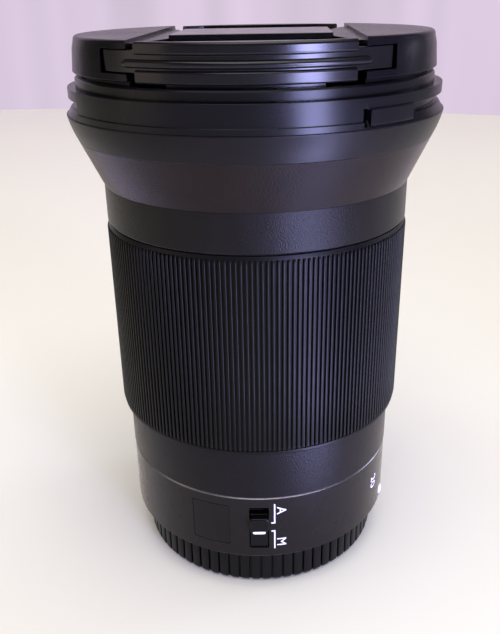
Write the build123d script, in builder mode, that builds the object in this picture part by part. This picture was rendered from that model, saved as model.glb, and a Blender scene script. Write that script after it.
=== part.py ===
"""Wide-angle prime lens, standing on its rear cap, with its front cap on.

The lens axis is Z and the front points up. The origin is the middle of the rear cap's foot.
All sizes are millimetres. Bearings go round the lens from its marked side, the side that
carries the switch and faces -Y, and grow towards +X.
"""
from build123d import *
import math
import os

os.makedirs("parts", exist_ok=True)

# Fits and gaps that several pieces share
SLIP_FIT = 0.05
RUNNING_FIT = 0.05
SEAM_GAP = 0.05
OPEN_GAP = 0.3

# How far joined shapes run into one another, and cuts run past an outline
OVERLAP = 1.0

# Outside lengths along the axis, from the rear cap's foot to the front cap's top
REAR_CAP_LENGTH = 10.0
REAR_CAP_GAP = 0.3
FLANGE_THICKNESS = 2.0
REAR_BARREL_RISE = 0.15
REAR_BARREL_LENGTH = 17.45
PLAIN_BAND_LENGTH = 12.65
RING_END_GAP = 0.25
CONTROL_RING_LENGTH = 47.1
NECK_LENGTH = 8.7
CONE_LENGTH = 8.7
FLARE_STEP_LENGTH = 1.6
FLARE_LENGTH = 5.45
RIDGE_LENGTH = 1.25
BAYONET_LENGTH = 4.3
FILTER_RIM_LENGTH = 2.1
FRONT_CAP_GAP = 0.8
FRONT_CAP_LENGTH = 7.4

# Chassis tube, and the walls of what slides over it or runs on it
CHASSIS_RADIUS = 31.8
REAR_BARREL_WALL = 1.95
PLAIN_BAND_WALL = 2.05
LAND_HEIGHT = 1.55
RING_WALL = 2.25
NECK_STEP = 0.25

# Filter thread, and the steps outwards from it to the front barrel's lip
FILTER_THREAD_RADIUS = 38.25
FILTER_WALL = 0.95
FILTER_RIM_WALL = 1.35
HOOD_WALL = 0.45
GROOVE_DEPTH = 1.65
RIDGE_STEP = 0.45
LIP_STEP = 0.3
FLARE_SPREAD = 1.4
FLARE_SWELL = 0.35
CONE_STEP = 1.2

# Edges that catch the light
BODY_CHAMFER = 0.4
SEAM_CHAMFER = 0.25
FINE_CHAMFER = 0.15
EDGE_CHAMFER = 0.3

# Radii that follow from those walls and steps
sleeve_bore = CHASSIS_RADIUS + SLIP_FIT
rear_barrel_radius = sleeve_bore + REAR_BARREL_WALL
plain_band_radius = sleeve_bore + PLAIN_BAND_WALL
land_radius = CHASSIS_RADIUS + LAND_HEIGHT
ring_wall_bore = land_radius + RUNNING_FIT
control_ring_radius = ring_wall_bore + RING_WALL
neck_radius = control_ring_radius - NECK_STEP
filter_body_radius = FILTER_THREAD_RADIUS + FILTER_WALL
filter_rim_radius = FILTER_THREAD_RADIUS + FILTER_RIM_WALL
hood_bore = filter_body_radius + SLIP_FIT
groove_floor_radius = hood_bore + HOOD_WALL
bayonet_radius = groove_floor_radius + GROOVE_DEPTH
ridge_radius = bayonet_radius + RIDGE_STEP
flare_top_radius = ridge_radius + LIP_STEP
flare_foot_radius = flare_top_radius - FLARE_SPREAD
cone_top_radius = flare_foot_radius - CONE_STEP

# Heights that follow from those lengths
mount_z = REAR_CAP_LENGTH + REAR_CAP_GAP
chassis_z = mount_z + FLANGE_THICKNESS
rear_barrel_z = mount_z + REAR_BARREL_RISE
seam_z = rear_barrel_z + REAR_BARREL_LENGTH
plain_band_z = seam_z + SEAM_GAP
land_z = plain_band_z + PLAIN_BAND_LENGTH
ring_z = land_z + RING_END_GAP
ring_top_z = ring_z + CONTROL_RING_LENGTH
front_barrel_z = ring_top_z + RING_END_GAP
cone_z = front_barrel_z + NECK_LENGTH
cone_top_z = cone_z + CONE_LENGTH
flare_z = cone_top_z + FLARE_STEP_LENGTH
lip_z = flare_z + FLARE_LENGTH
bayonet_z = lip_z + RIDGE_LENGTH
bayonet_top_z = bayonet_z + BAYONET_LENGTH
filter_top_z = bayonet_top_z + FILTER_RIM_LENGTH
front_cap_z = filter_top_z + FRONT_CAP_GAP
front_cap_top_z = front_cap_z + FRONT_CAP_LENGTH

# Main barrel, the chassis that everything else is fixed to
CHASSIS_RING_HEIGHT = 0.5
LOWER_WALL = 2.8
UPPER_WALL = 1.8
REAR_LAND_LENGTH = 4.4
FRONT_LAND_LENGTH = 4.7
REAR_FLANGE_LENGTH = 4.0
REAR_FLANGE_STEP = 0.2
REAR_LEDGE_WIDTH = 1.0
REAR_LEDGE_LENGTH = 1.5
REAR_LEDGE_RISE = 22.2
IRIS_SEAT_RISE = 45.2
CHASSIS_TOP_RISE = 7.8
TOP_FLANGE_LENGTH = 2.5
BOSS_RADIUS = 1.2
BOSS_LENGTH = 1.2
BOSS_CIRCLE = 26.0
BOSS_COUNT = 4
BOSS_START = 45.0
chassis_inner_z = chassis_z + REAR_FLANGE_LENGTH
rear_ledge_z = chassis_z + REAR_LEDGE_RISE
iris_seat_z = chassis_z + IRIS_SEAT_RISE
chassis_top_z = front_barrel_z + CHASSIS_TOP_RISE
chassis_ring_radius = CHASSIS_RADIUS + CHASSIS_RING_HEIGHT
lower_bore = CHASSIS_RADIUS - LOWER_WALL
upper_bore = CHASSIS_RADIUS - UPPER_WALL
rear_ledge_bore = lower_bore - REAR_LEDGE_WIDTH

# Lens mount, with the lugs that lock it into a camera or a rear cap
MOUNT_INSET = 1.6
MOUNT_BORE = 23.8
COLLAR_WALL = 1.8
COLLAR_LENGTH = 5.0
LUG_HEIGHT = 1.6
LUG_RISE = 0.3
LUG_THICKNESS = 1.4
LUG_COUNT = 4
LUG_ANGLE = 36.0
MOUNT_SCREW_COUNT = 4
MOUNT_SCREW_START = 45.0
SCREW_RADIUS = 0.8
SCREW_HEAD_RADIUS = 1.6
SCREW_HEAD_HEIGHT = 1.0
MOUNT_SCREW_LENGTH = 5.5
GASKET_GAP = 0.1
GASKET_THICKNESS = 1.3
GASKET_DROP = 0.2
mount_radius = CHASSIS_RADIUS - MOUNT_INSET
collar_radius = MOUNT_BORE + COLLAR_WALL
lug_radius = collar_radius + LUG_HEIGHT
mount_screw_circle = (collar_radius + mount_radius) / 2
gasket_radius = mount_radius + GASKET_GAP + GASKET_THICKNESS
rear_flange_bore = MOUNT_BORE + REAR_FLANGE_STEP

# Rear cap
REAR_CAP_WALL = 2.7
REAR_CAP_FLOOR = 1.6
REAR_CAP_CLEARANCE = 1.1
REAR_CAP_RIBS = 72
REAR_CAP_RIB_DEPTH = 0.55
REAR_CAP_GROOVE_WIDTH = 0.5
REAR_CAP_RIM = 0.9
REAR_CAP_CHAMFER = 0.6
REAR_CAP_RECESS_RADIUS = 25.0
REAR_CAP_RECESS_DEPTH = 0.5
TAB_CLEARANCE = 0.4
TAB_THICKNESS = 1.5
collar_z = mount_z - COLLAR_LENGTH
lug_z = collar_z + LUG_RISE
tab_z = lug_z + LUG_THICKNESS + OPEN_GAP
rear_cap_bore = lug_radius + REAR_CAP_CLEARANCE
rear_cap_radius = rear_cap_bore + REAR_CAP_WALL
tab_bore = collar_radius + TAB_CLEARANCE

# Contacts in the mount
CONTACT_COUNT = 11
CONTACT_ANGLE = 60.0
CONTACT_BEARING = 180.0
CONTACT_BLOCK_DEPTH = 2.6
CONTACT_BLOCK_RISE = 1.2
CONTACT_INSET = 1.4
CONTACT_RADIUS = 0.45
CONTACT_STAND = 0.4
CONTACT_DEPTH = 2.5
contact_block_bore = MOUNT_BORE - CONTACT_BLOCK_DEPTH
contact_circle = MOUNT_BORE - CONTACT_INSET

# Rear baffle
BAFFLE_THICKNESS = 1.2
BAFFLE_WIDTH = 30.0
BAFFLE_HEIGHT = 20.0
BAFFLE_CORNER = 2.0

# Mode switch and its board
SWITCH_X = -0.35
SLOT_WIDTH = 4.8
SLOT_LENGTH = 11.9
SLOT_RISE = 2.95
SLOT_CORNER = 0.5
KNOB_LENGTH = 9.3
KNOB_GAP = 0.1
KNOB_PROUD = 1.1
KNOB_SINK = 0.15
KNOB_GRIP_LENGTH = 3.75
SWITCH_TRAVEL = 2.4
SLIDER_INSET = 0.5
SLIDER_THICKNESS = 1.0
SLIDER_WIDTH = 8.4
SLIDER_LENGTH = 9.7
WIPER_WIDTH = 2.0
WIPER_THICKNESS = 2.0
WINDOW_GAP = 0.4
SWITCH_BOARD_INSET = 1.4
SWITCH_BOARD_THICKNESS = 0.8
SWITCH_BOARD_WIDTH = 10.0
SWITCH_BOARD_LENGTH = 11.5

# Badge plate on the rear barrel, left bare
BADGE_BEARING = -28.9
BADGE_ANGLE = 16.3
BADGE_RISE = 3.65
BADGE_LENGTH = 11.35
BADGE_DEPTH = 0.3
BADGE_THICKNESS = 0.28
BADGE_GAP = 0.12

# Main circuit board
BOARD_EDGE_GAP = 1.3
BOARD_BORE_GAP = 0.9
BOARD_THICKNESS = 0.8
BOARD_NOTCH_WIDTH = 12.0
BOARD_NOTCH_FLOOR = 25.6
BOARD_MOTOR_GAP = 1.2

# Control ring
RING_RIBS = 204
RING_RIB_DEPTH = 0.5
RING_GROOVE_WIDTH = 0.49
RING_LOWER_RIM = 1.0
RING_UPPER_RIM = 0.9
RING_RIM_STEP = 0.25
STRIP_THICKNESS = 0.6
STRIP_LENGTH = 6.0
STRIP_RISE = 19.15
SENSOR_GAP = 0.55
SENSOR_WIDTH = 6.0
SENSOR_FLANGE_WIDTH = 10.0
SENSOR_FLANGE_THICKNESS = 1.0
SENSOR_FLANGE_INSET = 0.5
SENSOR_FLANGE_MARGIN = 1.5

# Front barrel, hood bayonet, filter ring and trim
FRONT_WALL = 1.8
FRONT_FLANGE_LENGTH = 2.8
FRONT_LIP_THICKNESS = 2.15
FRONT_LIP_DEPTH = 1.0
FILTER_STOP_DEPTH = 1.25
FILTER_THREAD_LENGTH = 4.5
FILTER_CHAMFER = 0.35
GROOVE_RISE = 0.2
GROOVE_WIDTH = 2.0
RAMP_HEIGHT = 1.2
BAYONET_START = 29.4
BAYONET_ANGLE = 90.0
BAYONET_SECTORS = 2
STOP_SLOT_ANGLE = 1.3
STOP_SLOT_LEAD = 0.7
STOP_SLOT_DROP = 0.9
STOP_SLOT_TOP = 0.2
TRIM_OVERLAP = 1.0
TRIM_THICKNESS = 1.6
TRIM_STEPS = 4
TRIM_RISE = 4.8
filter_bore = FILTER_THREAD_RADIUS - FILTER_STOP_DEPTH
front_lip_bore = filter_bore - FRONT_LIP_DEPTH
ramp_top_radius = groove_floor_radius + RAMP_HEIGHT

# Flat rim ground round each piece of glass
GLASS_RIM = 1.2

# Front cell: element radii, seats measured from the top of the main barrel, and glass sizes
CELL_WALL = 1.5
CELL_FLANGE_WIDTH = 2.2
CELL_FLANGE_LENGTH = 2.5
CELL_HEAD_WALL = 2.0
CELL_REAR_DROP = 31.0
CELL_LIP = 1.0
CELL_SCREW_CIRCLE = 26.8
CELL_SCREW_COUNT = 3
CELL_SCREW_START = 90.0
CELL_SCREW_HEAD_HEIGHT = 1.5
CELL_SCREW_HEAD_RADIUS = 1.7
CELL_SCREW_DEPTH = 2.0
FRONT_ELEMENT_RADIUS = 29.0
FRONT_ELEMENT_SEAT = 4.5
FRONT_ELEMENT_EDGE = 5.5
FRONT_ELEMENT_SAGS = (5.0, 3.0)
SECOND_ELEMENT_RADIUS = 22.0
SECOND_ELEMENT_SEAT = -4.5
SECOND_ELEMENT_EDGE = 4.0
SECOND_ELEMENT_SAGS = (5.0, 3.0)
THIRD_ELEMENT_RADIUS = 19.0
THIRD_ELEMENT_SEAT = -11.5
THIRD_ELEMENT_EDGE = 4.0
THIRD_ELEMENT_SAGS = (2.2, 3.0)
FRONT_DOUBLET_STEP = 0.5
FRONT_DOUBLET_SEAT = -22.5
FRONT_DOUBLET_EDGE = 9.5
FRONT_DOUBLET_SAGS = (-2.0, 2.0)
FIFTH_ELEMENT_STEP = 1.0
FIFTH_ELEMENT_SEAT = -30.0
FIFTH_ELEMENT_EDGE = 4.0
FIFTH_ELEMENT_SAGS = (1.5, -1.0)
RETAINER_WIDTH = 1.1
RETAINER_THICKNESS = 2.4
cell_head_radius = FRONT_ELEMENT_RADIUS + CELL_HEAD_WALL
cell_flange_radius = cell_head_radius + CELL_FLANGE_WIDTH
front_doublet_radius = THIRD_ELEMENT_RADIUS - FRONT_DOUBLET_STEP
fifth_element_radius = front_doublet_radius - FIFTH_ELEMENT_STEP
top_flange_bore = SECOND_ELEMENT_RADIUS + CELL_WALL + 2 * SLIP_FIT

# Iris
IRIS_PLATE_THICKNESS = 0.8
IRIS_OPENING = 12.6
IRIS_WALL = 1.6
IRIS_RING_MARGIN = 1.5
IRIS_RING_STEP = 1.9
IRIS_RING_THICKNESS = 0.8
IRIS_RING_RISE = 2.8
IRIS_RING_LEDGE = 0.4
IRIS_RING_PLAY = 0.1
IRIS_COVER_THICKNESS = 0.8
IRIS_COVER_LEDGE = 0.65
IRIS_COVER_RISE = 0.3
IRIS_COVER_STEP = 0.9
IRIS_RIM_LENGTH = 1.4
BLADE_COUNT = 9
BLADE_THICKNESS = 0.12
BLADE_PITCH = 0.25
BLADE_FLOOR_GAP = 0.2
BLADE_SHOW = 0.4
BLADE_WIDTH = 6.8
BLADE_LEAD = 4.0
BLADE_SWEEP = 104.0
PIVOT_STEP = 1.0
DRIVE_ARM = 2.8
PIN_RADIUS = 0.5
PIN_END_GAP = 0.1
TAB_WIDTH = 2.0
BLADE_CLOSING = 31.4
IRIS_RATIO = 1.57
CAM_SLOT_GAP = 0.1
blade_inner = IRIS_OPENING - BLADE_SHOW
blade_outer = blade_inner + BLADE_WIDTH
pivot_circle = blade_outer + PIVOT_STEP
iris_ring_radius = pivot_circle + DRIVE_ARM + IRIS_RING_MARGIN
iris_ring_bore = IRIS_OPENING + IRIS_RING_STEP
iris_cover_bore = IRIS_OPENING + IRIS_COVER_STEP

# Rear cell and its glass, measured down from its seat in the main barrel
REAR_CELL_WALL = 0.9
REAR_CELL_LENGTH = 20.5
REAR_CELL_FLANGE = 2.5
REAR_CELL_LIP = 1.0
REAR_DOUBLET_RADIUS = 16.5
REAR_DOUBLET_EDGE = 7.0
REAR_DOUBLET_SAGS = (-1.0, 1.0)
ASPHERE_STEP = 1.0
ASPHERE_DROP = 7.5
ASPHERE_EDGE = 5.0
ASPHERE_SAGS = (1.0, 0.6)
REAR_ELEMENT_STEP = 1.0
REAR_ELEMENT_DROP = 14.5
REAR_ELEMENT_EDGE = 5.0
REAR_ELEMENT_SAGS = (1.0, 1.0)

# Focus carriage, its rods, motor and lead screw
ROD_RADIUS = 1.5
ROD_REACH = 24.0
MOTOR_GAP = 0.2
MOTOR_RADIUS = 4.0
MOTOR_LENGTH = 17.9
LEAD_SCREW_RADIUS = 1.2
LEAD_SCREW_DEPTH = 4.2
CARRIAGE_RISE = 3.0
CARRIAGE_LENGTH = 13.0
CARRIAGE_WALL = 1.9
CARRIAGE_LIP = 1.0
ARM_RISE = 4.0
ARM_LENGTH = 8.0
ARM_WIDTH = 7.0
NUT_RADIUS = 2.6
NUT_LENGTH = 6.0
NUT_FLANGE_RADIUS = 3.4
NUT_FLANGE_THICKNESS = 0.8
FOCUS_REAR_RADIUS = 14.5
FOCUS_REAR_EDGE = 3.0
FOCUS_REAR_SAGS = (0.8, 0.6)
FOCUS_REAR_TOP = 4.0
FOCUS_DOUBLET_STEP = 0.5
FOCUS_DOUBLET_EDGE = 4.0
FOCUS_DOUBLET_SAGS = (0.5, 0.9)
FOCUS_DOUBLET_TOP = 9.5
FOCUS_FRONT_STEP = 0.5
FOCUS_FRONT_EDGE = 2.0
FOCUS_FRONT_SAGS = (1.2, 0.6)
asphere_radius = REAR_DOUBLET_RADIUS + ASPHERE_STEP
rear_element_radius = asphere_radius + REAR_ELEMENT_STEP
rear_cell_radius = rear_element_radius + REAR_CELL_WALL
motor_reach = rear_cell_radius + MOTOR_GAP + MOTOR_RADIUS
focus_doublet_radius = FOCUS_REAR_RADIUS - FOCUS_DOUBLET_STEP
focus_front_radius = focus_doublet_radius - FOCUS_FRONT_STEP
carriage_radius = FOCUS_REAR_RADIUS + CARRIAGE_WALL

# Front cap, turned a little on the lens
CAP_TURN = -2.7
CAP_OVERHANG = 0.3
CAP_DRAFT = 0.4
CAP_TOP_STEP = 0.8
CAP_SIDE_LENGTH = 4.9
CAP_EDGE_LENGTH = 0.8
CAP_FLOOR = 1.5
CHANNEL_HALF_WIDTH = 22.0
RECESS_HALF_WIDTH = 17.0
RECESS_MIDDLE_WIDTH = 20.6
RECESS_NEAR = 27.4
RECESS_CORNER = 1.0
RECESS_DEPTH = 13.3
SHOULDER_DROP = 0.8
POCKET_END_GAP = 0.5
POCKET_HEIGHT = 4.4
PEDESTAL_HALF_DEPTH = 9.0
PEDESTAL_HEIGHT = 4.6
PLATE_THICKNESS = 1.2
PLATE_GAP = 0.15
SKIRT_CLEARANCE = 0.3
SKIRT_WALL = 1.75
SKIRT_LENGTH = 5.0

# The cap's two latches, in the cap's own directions
LATCH_TRAVEL = 3.5
LATCH_SINK = 0.3
LATCH_HALF_WIDTH = 20.3
LATCH_WALL = 1.8
LATCH_GRIP_DEPTH = 4.8
LATCH_GRIP_HALF_WIDTH = 16.0
LATCH_DROP = 0.1
LATCH_TOP_DROP = 0.2
LATCH_GROOVE_DEPTH = 0.5
LOWER_BAND_LENGTH = 2.35
RIB_RISE = 2.7
RIB_LENGTH = 1.6
RIB_PROUD = 0.4
RIB_HALF_WIDTH = 22.8
UPPER_BAND_RISE = 5.2
TONGUE_HALF_WIDTH = 27.4
TONGUE_WALL = 2.0
TONGUE_GAP = 0.2
LEG_CLEARANCE = 0.2
LEG_WALL = 1.75
LEG_HALF_WIDTH = 15.0
LEG_LENGTH = 4.5
RAIL_HALF_WIDTH = 16.0
RAIL_END = 13.5
RAIL_GAP = 0.1
RAIL_THICKNESS = 3.0
SPRING_REACH = 8.0
SPRING_RADIUS = 1.4
SPRING_WIRE = 0.4
SPRING_END_GAP = 0.1
cap_foot_radius = filter_rim_radius + CAP_OVERHANG
cap_side_radius = cap_foot_radius - CAP_DRAFT
cap_top_radius = cap_side_radius - CAP_TOP_STEP
skirt_radius = FILTER_THREAD_RADIUS - SKIRT_CLEARANCE
latch_radius = cap_foot_radius - LATCH_SINK
latch_inner = latch_radius - LATCH_GRIP_DEPTH
leg_radius = FILTER_THREAD_RADIUS - LEG_CLEARANCE
latch_stroke = LATCH_TRAVEL + OPEN_GAP
tongue_inner = math.sqrt((latch_radius - TONGUE_WALL) ** 2 - TONGUE_HALF_WIDTH ** 2)
pocket_inner = tongue_inner - latch_stroke
pocket_reach = TONGUE_HALF_WIDTH + POCKET_END_GAP


def radial_plane(bearing):
    """Upright plane through the axis: its X points out at the bearing and its Y up the axis."""
    angle = math.radians(bearing)
    outward = (math.sin(angle), -math.cos(angle), 0)
    across = (-math.cos(angle), -math.sin(angle), 0)
    return Plane(origin=(0, 0, 0), x_dir=outward, z_dir=across)


def glass_section(radius, rear_edge, thickness, sags):
    """Half section of a glass element; a sag is how far a surface's middle stands in front of its edge."""
    rear_sag, front_sag = sags
    front_edge = rear_edge + thickness
    rear_vertex = (0, rear_edge + rear_sag)
    front_vertex = (0, front_edge + front_sag)
    clear_radius = radius - GLASS_RIM
    with BuildSketch() as section:
        with BuildLine():
            TangentArc(rear_vertex, (clear_radius, rear_edge), tangent=(1, 0))
            Polyline(
                (clear_radius, rear_edge),
                (radius, rear_edge),
                (radius, front_edge),
                (clear_radius, front_edge),
            )
            TangentArc(front_vertex, (clear_radius, front_edge), tangent=(1, 0))
            Line(rear_vertex, front_vertex)
        make_face()
    return section.sketch


def ribbed_section(radius, bore, count, depth, groove_width):
    """Ring section with square grooves cut into its rim, leaving a rib between each two."""
    with BuildSketch() as section:
        Circle(radius)
        with PolarLocations(radius, count):
            Rectangle(2 * depth, groove_width, mode=Mode.SUBTRACT)
        Circle(bore, mode=Mode.SUBTRACT)
    return section.sketch


# Rear cap: a ribbed cup with tabs that hook over the mount's lugs
rib_foot_z = REAR_CAP_RIM
rib_length = REAR_CAP_LENGTH - REAR_CAP_RIM
rear_cap_rim_radius = rear_cap_radius - REAR_CAP_RIB_DEPTH
with BuildPart() as rear_cap:
    with BuildSketch(Plane.XZ):
        with BuildLine():
            Polyline(
                (0, REAR_CAP_RECESS_DEPTH),
                (REAR_CAP_RECESS_RADIUS, REAR_CAP_RECESS_DEPTH),
                (REAR_CAP_RECESS_RADIUS, 0),
                (rear_cap_rim_radius - REAR_CAP_CHAMFER, 0),
                (rear_cap_rim_radius, REAR_CAP_CHAMFER),
                (rear_cap_rim_radius, REAR_CAP_LENGTH),
                (rear_cap_bore, REAR_CAP_LENGTH),
                (rear_cap_bore, REAR_CAP_FLOOR),
                (0, REAR_CAP_FLOOR),
                close=True,
            )
        make_face()
    revolve(axis=Axis.Z)
    with BuildSketch(Plane.XY.offset(rib_foot_z)):
        add(ribbed_section(rear_cap_radius, rear_cap_bore, REAR_CAP_RIBS, REAR_CAP_RIB_DEPTH,
                           REAR_CAP_GROOVE_WIDTH))
    extrude(amount=rib_length)
    with BuildSketch(Plane.XZ):
        with BuildLine():
            Polyline(
                (rear_cap_rim_radius, rib_foot_z),
                (rear_cap_radius, rib_foot_z + REAR_CAP_CHAMFER),
                (rear_cap_radius + OPEN_GAP, rib_foot_z + REAR_CAP_CHAMFER),
                (rear_cap_radius + OPEN_GAP, rib_foot_z),
                close=True,
            )
        make_face()
    revolve(axis=Axis.Z, mode=Mode.SUBTRACT)
    for lug in range(LUG_COUNT):
        with BuildSketch(radial_plane(lug * 360 / LUG_COUNT - LUG_ANGLE / 2)):
            with BuildLine():
                Polyline(
                    (tab_bore, tab_z),
                    (rear_cap_bore + SLIP_FIT, tab_z),
                    (rear_cap_bore + SLIP_FIT, tab_z + TAB_THICKNESS),
                    (tab_bore, tab_z + TAB_THICKNESS),
                    close=True,
                )
            make_face()
        revolve(axis=Axis.Z, revolution_arc=LUG_ANGLE)
rear_cap.part.label = "rear_cap"
export_step(rear_cap.part, "parts/rear_cap.step")

# Lens mount: flange, collar, locking lugs and counterbored holes
with BuildPart() as lens_mount:
    with BuildSketch(Plane.XY.offset(mount_z)):
        Circle(mount_radius)
        Circle(MOUNT_BORE, mode=Mode.SUBTRACT)
    extrude(amount=FLANGE_THICKNESS)
    with BuildSketch(Plane.XY.offset(collar_z)):
        Circle(collar_radius)
        Circle(MOUNT_BORE, mode=Mode.SUBTRACT)
    extrude(amount=COLLAR_LENGTH)
    for lug in range(LUG_COUNT):
        with BuildSketch(radial_plane(lug * 360 / LUG_COUNT - LUG_ANGLE / 2)):
            with BuildLine():
                Polyline(
                    (MOUNT_BORE, lug_z),
                    (lug_radius, lug_z),
                    (lug_radius, lug_z + LUG_THICKNESS),
                    (MOUNT_BORE, lug_z + LUG_THICKNESS),
                    close=True,
                )
            make_face()
        revolve(axis=Axis.Z, revolution_arc=LUG_ANGLE)
    with BuildSketch(Plane.XY.offset(mount_z)):
        with PolarLocations(mount_screw_circle, MOUNT_SCREW_COUNT, MOUNT_SCREW_START):
            Circle(SCREW_RADIUS + SLIP_FIT)
    extrude(amount=FLANGE_THICKNESS, mode=Mode.SUBTRACT)
    with BuildSketch(Plane.XY.offset(mount_z)):
        with PolarLocations(mount_screw_circle, MOUNT_SCREW_COUNT, MOUNT_SCREW_START):
            Circle(SCREW_HEAD_RADIUS + SLIP_FIT)
    extrude(amount=SCREW_HEAD_HEIGHT, mode=Mode.SUBTRACT)
lens_mount.part.label = "lens_mount"
export_step(lens_mount.part, "parts/lens_mount.step")

# Four screws that hold the mount on the main barrel, heads sunk in the mount
with BuildPart() as mount_screws:
    with BuildSketch(Plane.XY.offset(mount_z)):
        with PolarLocations(mount_screw_circle, MOUNT_SCREW_COUNT, MOUNT_SCREW_START):
            Circle(SCREW_HEAD_RADIUS)
    extrude(amount=SCREW_HEAD_HEIGHT)
    with BuildSketch(Plane.XY.offset(mount_z)):
        with PolarLocations(mount_screw_circle, MOUNT_SCREW_COUNT, MOUNT_SCREW_START):
            Circle(SCREW_RADIUS)
    extrude(amount=MOUNT_SCREW_LENGTH)
mount_screws.part.label = "mount_screws"
export_step(mount_screws.part, "parts/mount_screws.step")

# Rubber ring round the mount that keeps dust out of the camera
with BuildPart() as mount_gasket:
    with BuildSketch(Plane.XY.offset(mount_z - GASKET_DROP)):
        Circle(gasket_radius)
        Circle(gasket_radius - GASKET_THICKNESS, mode=Mode.SUBTRACT)
    extrude(amount=GASKET_DROP + FLANGE_THICKNESS)
mount_gasket.part.label = "mount_gasket"
export_step(mount_gasket.part, "parts/mount_gasket.step")

# Contact block inside the collar, and its pins
block_radius = MOUNT_BORE - SLIP_FIT
contact_z = collar_z + CONTACT_BLOCK_RISE
contact_start = CONTACT_BEARING - CONTACT_ANGLE / 2
contact_step = CONTACT_ANGLE / (CONTACT_COUNT + 1)
first_contact = contact_start + contact_step - 90
contact_span = contact_step * (CONTACT_COUNT - 1)
with BuildPart() as contact_block:
    with BuildSketch(radial_plane(contact_start)):
        with BuildLine():
            Polyline(
                (contact_block_bore, contact_z),
                (block_radius, contact_z),
                (block_radius, chassis_z),
                (contact_block_bore, chassis_z),
                close=True,
            )
        make_face()
    revolve(axis=Axis.Z, revolution_arc=CONTACT_ANGLE)
    with BuildSketch(Plane.XY.offset(contact_z)):
        with PolarLocations(contact_circle, CONTACT_COUNT, first_contact, contact_span, endpoint=True):
            Circle(CONTACT_RADIUS + SLIP_FIT)
    extrude(amount=CONTACT_DEPTH, mode=Mode.SUBTRACT)
contact_block.part.label = "contact_block"
export_step(contact_block.part, "parts/contact_block.step")

with BuildPart() as contact_pins:
    with BuildSketch(Plane.XY.offset(contact_z - CONTACT_STAND)):
        with PolarLocations(contact_circle, CONTACT_COUNT, first_contact, contact_span, endpoint=True):
            Circle(CONTACT_RADIUS)
    extrude(amount=CONTACT_STAND + CONTACT_DEPTH)
contact_pins.part.label = "contact_pins"
export_step(contact_pins.part, "parts/contact_pins.step")

# Rear baffle, a plate with a frame-shaped opening that stops stray light
with BuildPart() as rear_baffle:
    with BuildSketch(Plane.XY.offset(chassis_z)):
        Circle(rear_flange_bore - SLIP_FIT)
        RectangleRounded(BAFFLE_WIDTH, BAFFLE_HEIGHT, BAFFLE_CORNER, mode=Mode.SUBTRACT)
    extrude(amount=BAFFLE_THICKNESS)
rear_baffle.part.label = "rear_baffle"
export_step(rear_baffle.part, "parts/rear_baffle.step")

# Main barrel: stepped bore, lands for the control ring, and windows for the switch and sensor
slot_z = mount_z + SLOT_RISE
slider_outer = CHASSIS_RADIUS - SLIDER_INSET
switch_board_outer = lower_bore - SWITCH_BOARD_INSET
strip_z = ring_z + STRIP_RISE
slider_window_width = SLIDER_WIDTH + 2 * WINDOW_GAP
slider_window_length = SLIDER_LENGTH + SWITCH_TRAVEL + 2 * WINDOW_GAP
with BuildPart() as main_barrel:
    with BuildSketch(Plane.XZ):
        with BuildLine():
            Polyline(
                (rear_flange_bore, chassis_z),
                (CHASSIS_RADIUS, chassis_z),
                (CHASSIS_RADIUS, land_z),
                (land_radius, land_z),
                (land_radius, land_z + REAR_LAND_LENGTH),
                (chassis_ring_radius, land_z + REAR_LAND_LENGTH),
                (chassis_ring_radius, front_barrel_z - FRONT_LAND_LENGTH),
                (land_radius, front_barrel_z - FRONT_LAND_LENGTH),
                (land_radius, front_barrel_z),
                (CHASSIS_RADIUS, front_barrel_z),
                (CHASSIS_RADIUS, chassis_top_z),
                (top_flange_bore, chassis_top_z),
                (top_flange_bore, chassis_top_z - TOP_FLANGE_LENGTH),
                (upper_bore, chassis_top_z - TOP_FLANGE_LENGTH),
                (upper_bore, iris_seat_z),
                (lower_bore, iris_seat_z),
                (lower_bore, rear_ledge_z),
                (rear_ledge_bore, rear_ledge_z),
                (rear_ledge_bore, rear_ledge_z - REAR_LEDGE_LENGTH),
                (lower_bore, rear_ledge_z - REAR_LEDGE_LENGTH),
                (lower_bore, chassis_inner_z),
                (rear_flange_bore, chassis_inner_z),
                close=True,
            )
        make_face()
    revolve(axis=Axis.Z)
    with BuildSketch(Plane.XY.offset(chassis_z)):
        with PolarLocations(mount_screw_circle, MOUNT_SCREW_COUNT, MOUNT_SCREW_START):
            Circle(SCREW_RADIUS + SLIP_FIT)
    extrude(amount=MOUNT_SCREW_LENGTH - FLANGE_THICKNESS + PIN_END_GAP, mode=Mode.SUBTRACT)
    with BuildSketch(Plane.XY.offset(chassis_inner_z)):
        with PolarLocations(BOSS_CIRCLE, BOSS_COUNT, BOSS_START):
            Circle(BOSS_RADIUS)
    extrude(amount=BOSS_LENGTH)
    with BuildSketch(Plane.XY.offset(chassis_top_z)):
        with PolarLocations(CELL_SCREW_CIRCLE, CELL_SCREW_COUNT, CELL_SCREW_START):
            Circle(SCREW_RADIUS + SLIP_FIT)
    extrude(amount=-CELL_SCREW_DEPTH - PIN_END_GAP, mode=Mode.SUBTRACT)
    with BuildSketch(Plane.XZ.offset(slider_outer - SLIDER_THICKNESS - WIPER_THICKNESS)):
        with Locations((SWITCH_X, slot_z + slider_window_length / 2 - WINDOW_GAP)):
            Rectangle(slider_window_width, slider_window_length)
    extrude(amount=chassis_ring_radius - rear_flange_bore, mode=Mode.SUBTRACT)
    with BuildSketch(Plane.YZ.offset(upper_bore - SENSOR_FLANGE_THICKNESS)):
        with Locations((0, strip_z + STRIP_LENGTH / 2)):
            Rectangle(SENSOR_WIDTH + 2 * OPEN_GAP, STRIP_LENGTH)
    extrude(amount=chassis_ring_radius - rear_flange_bore, mode=Mode.SUBTRACT)
main_barrel.part.label = "main_barrel"
export_step(main_barrel.part, "parts/main_barrel.step")

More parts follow.
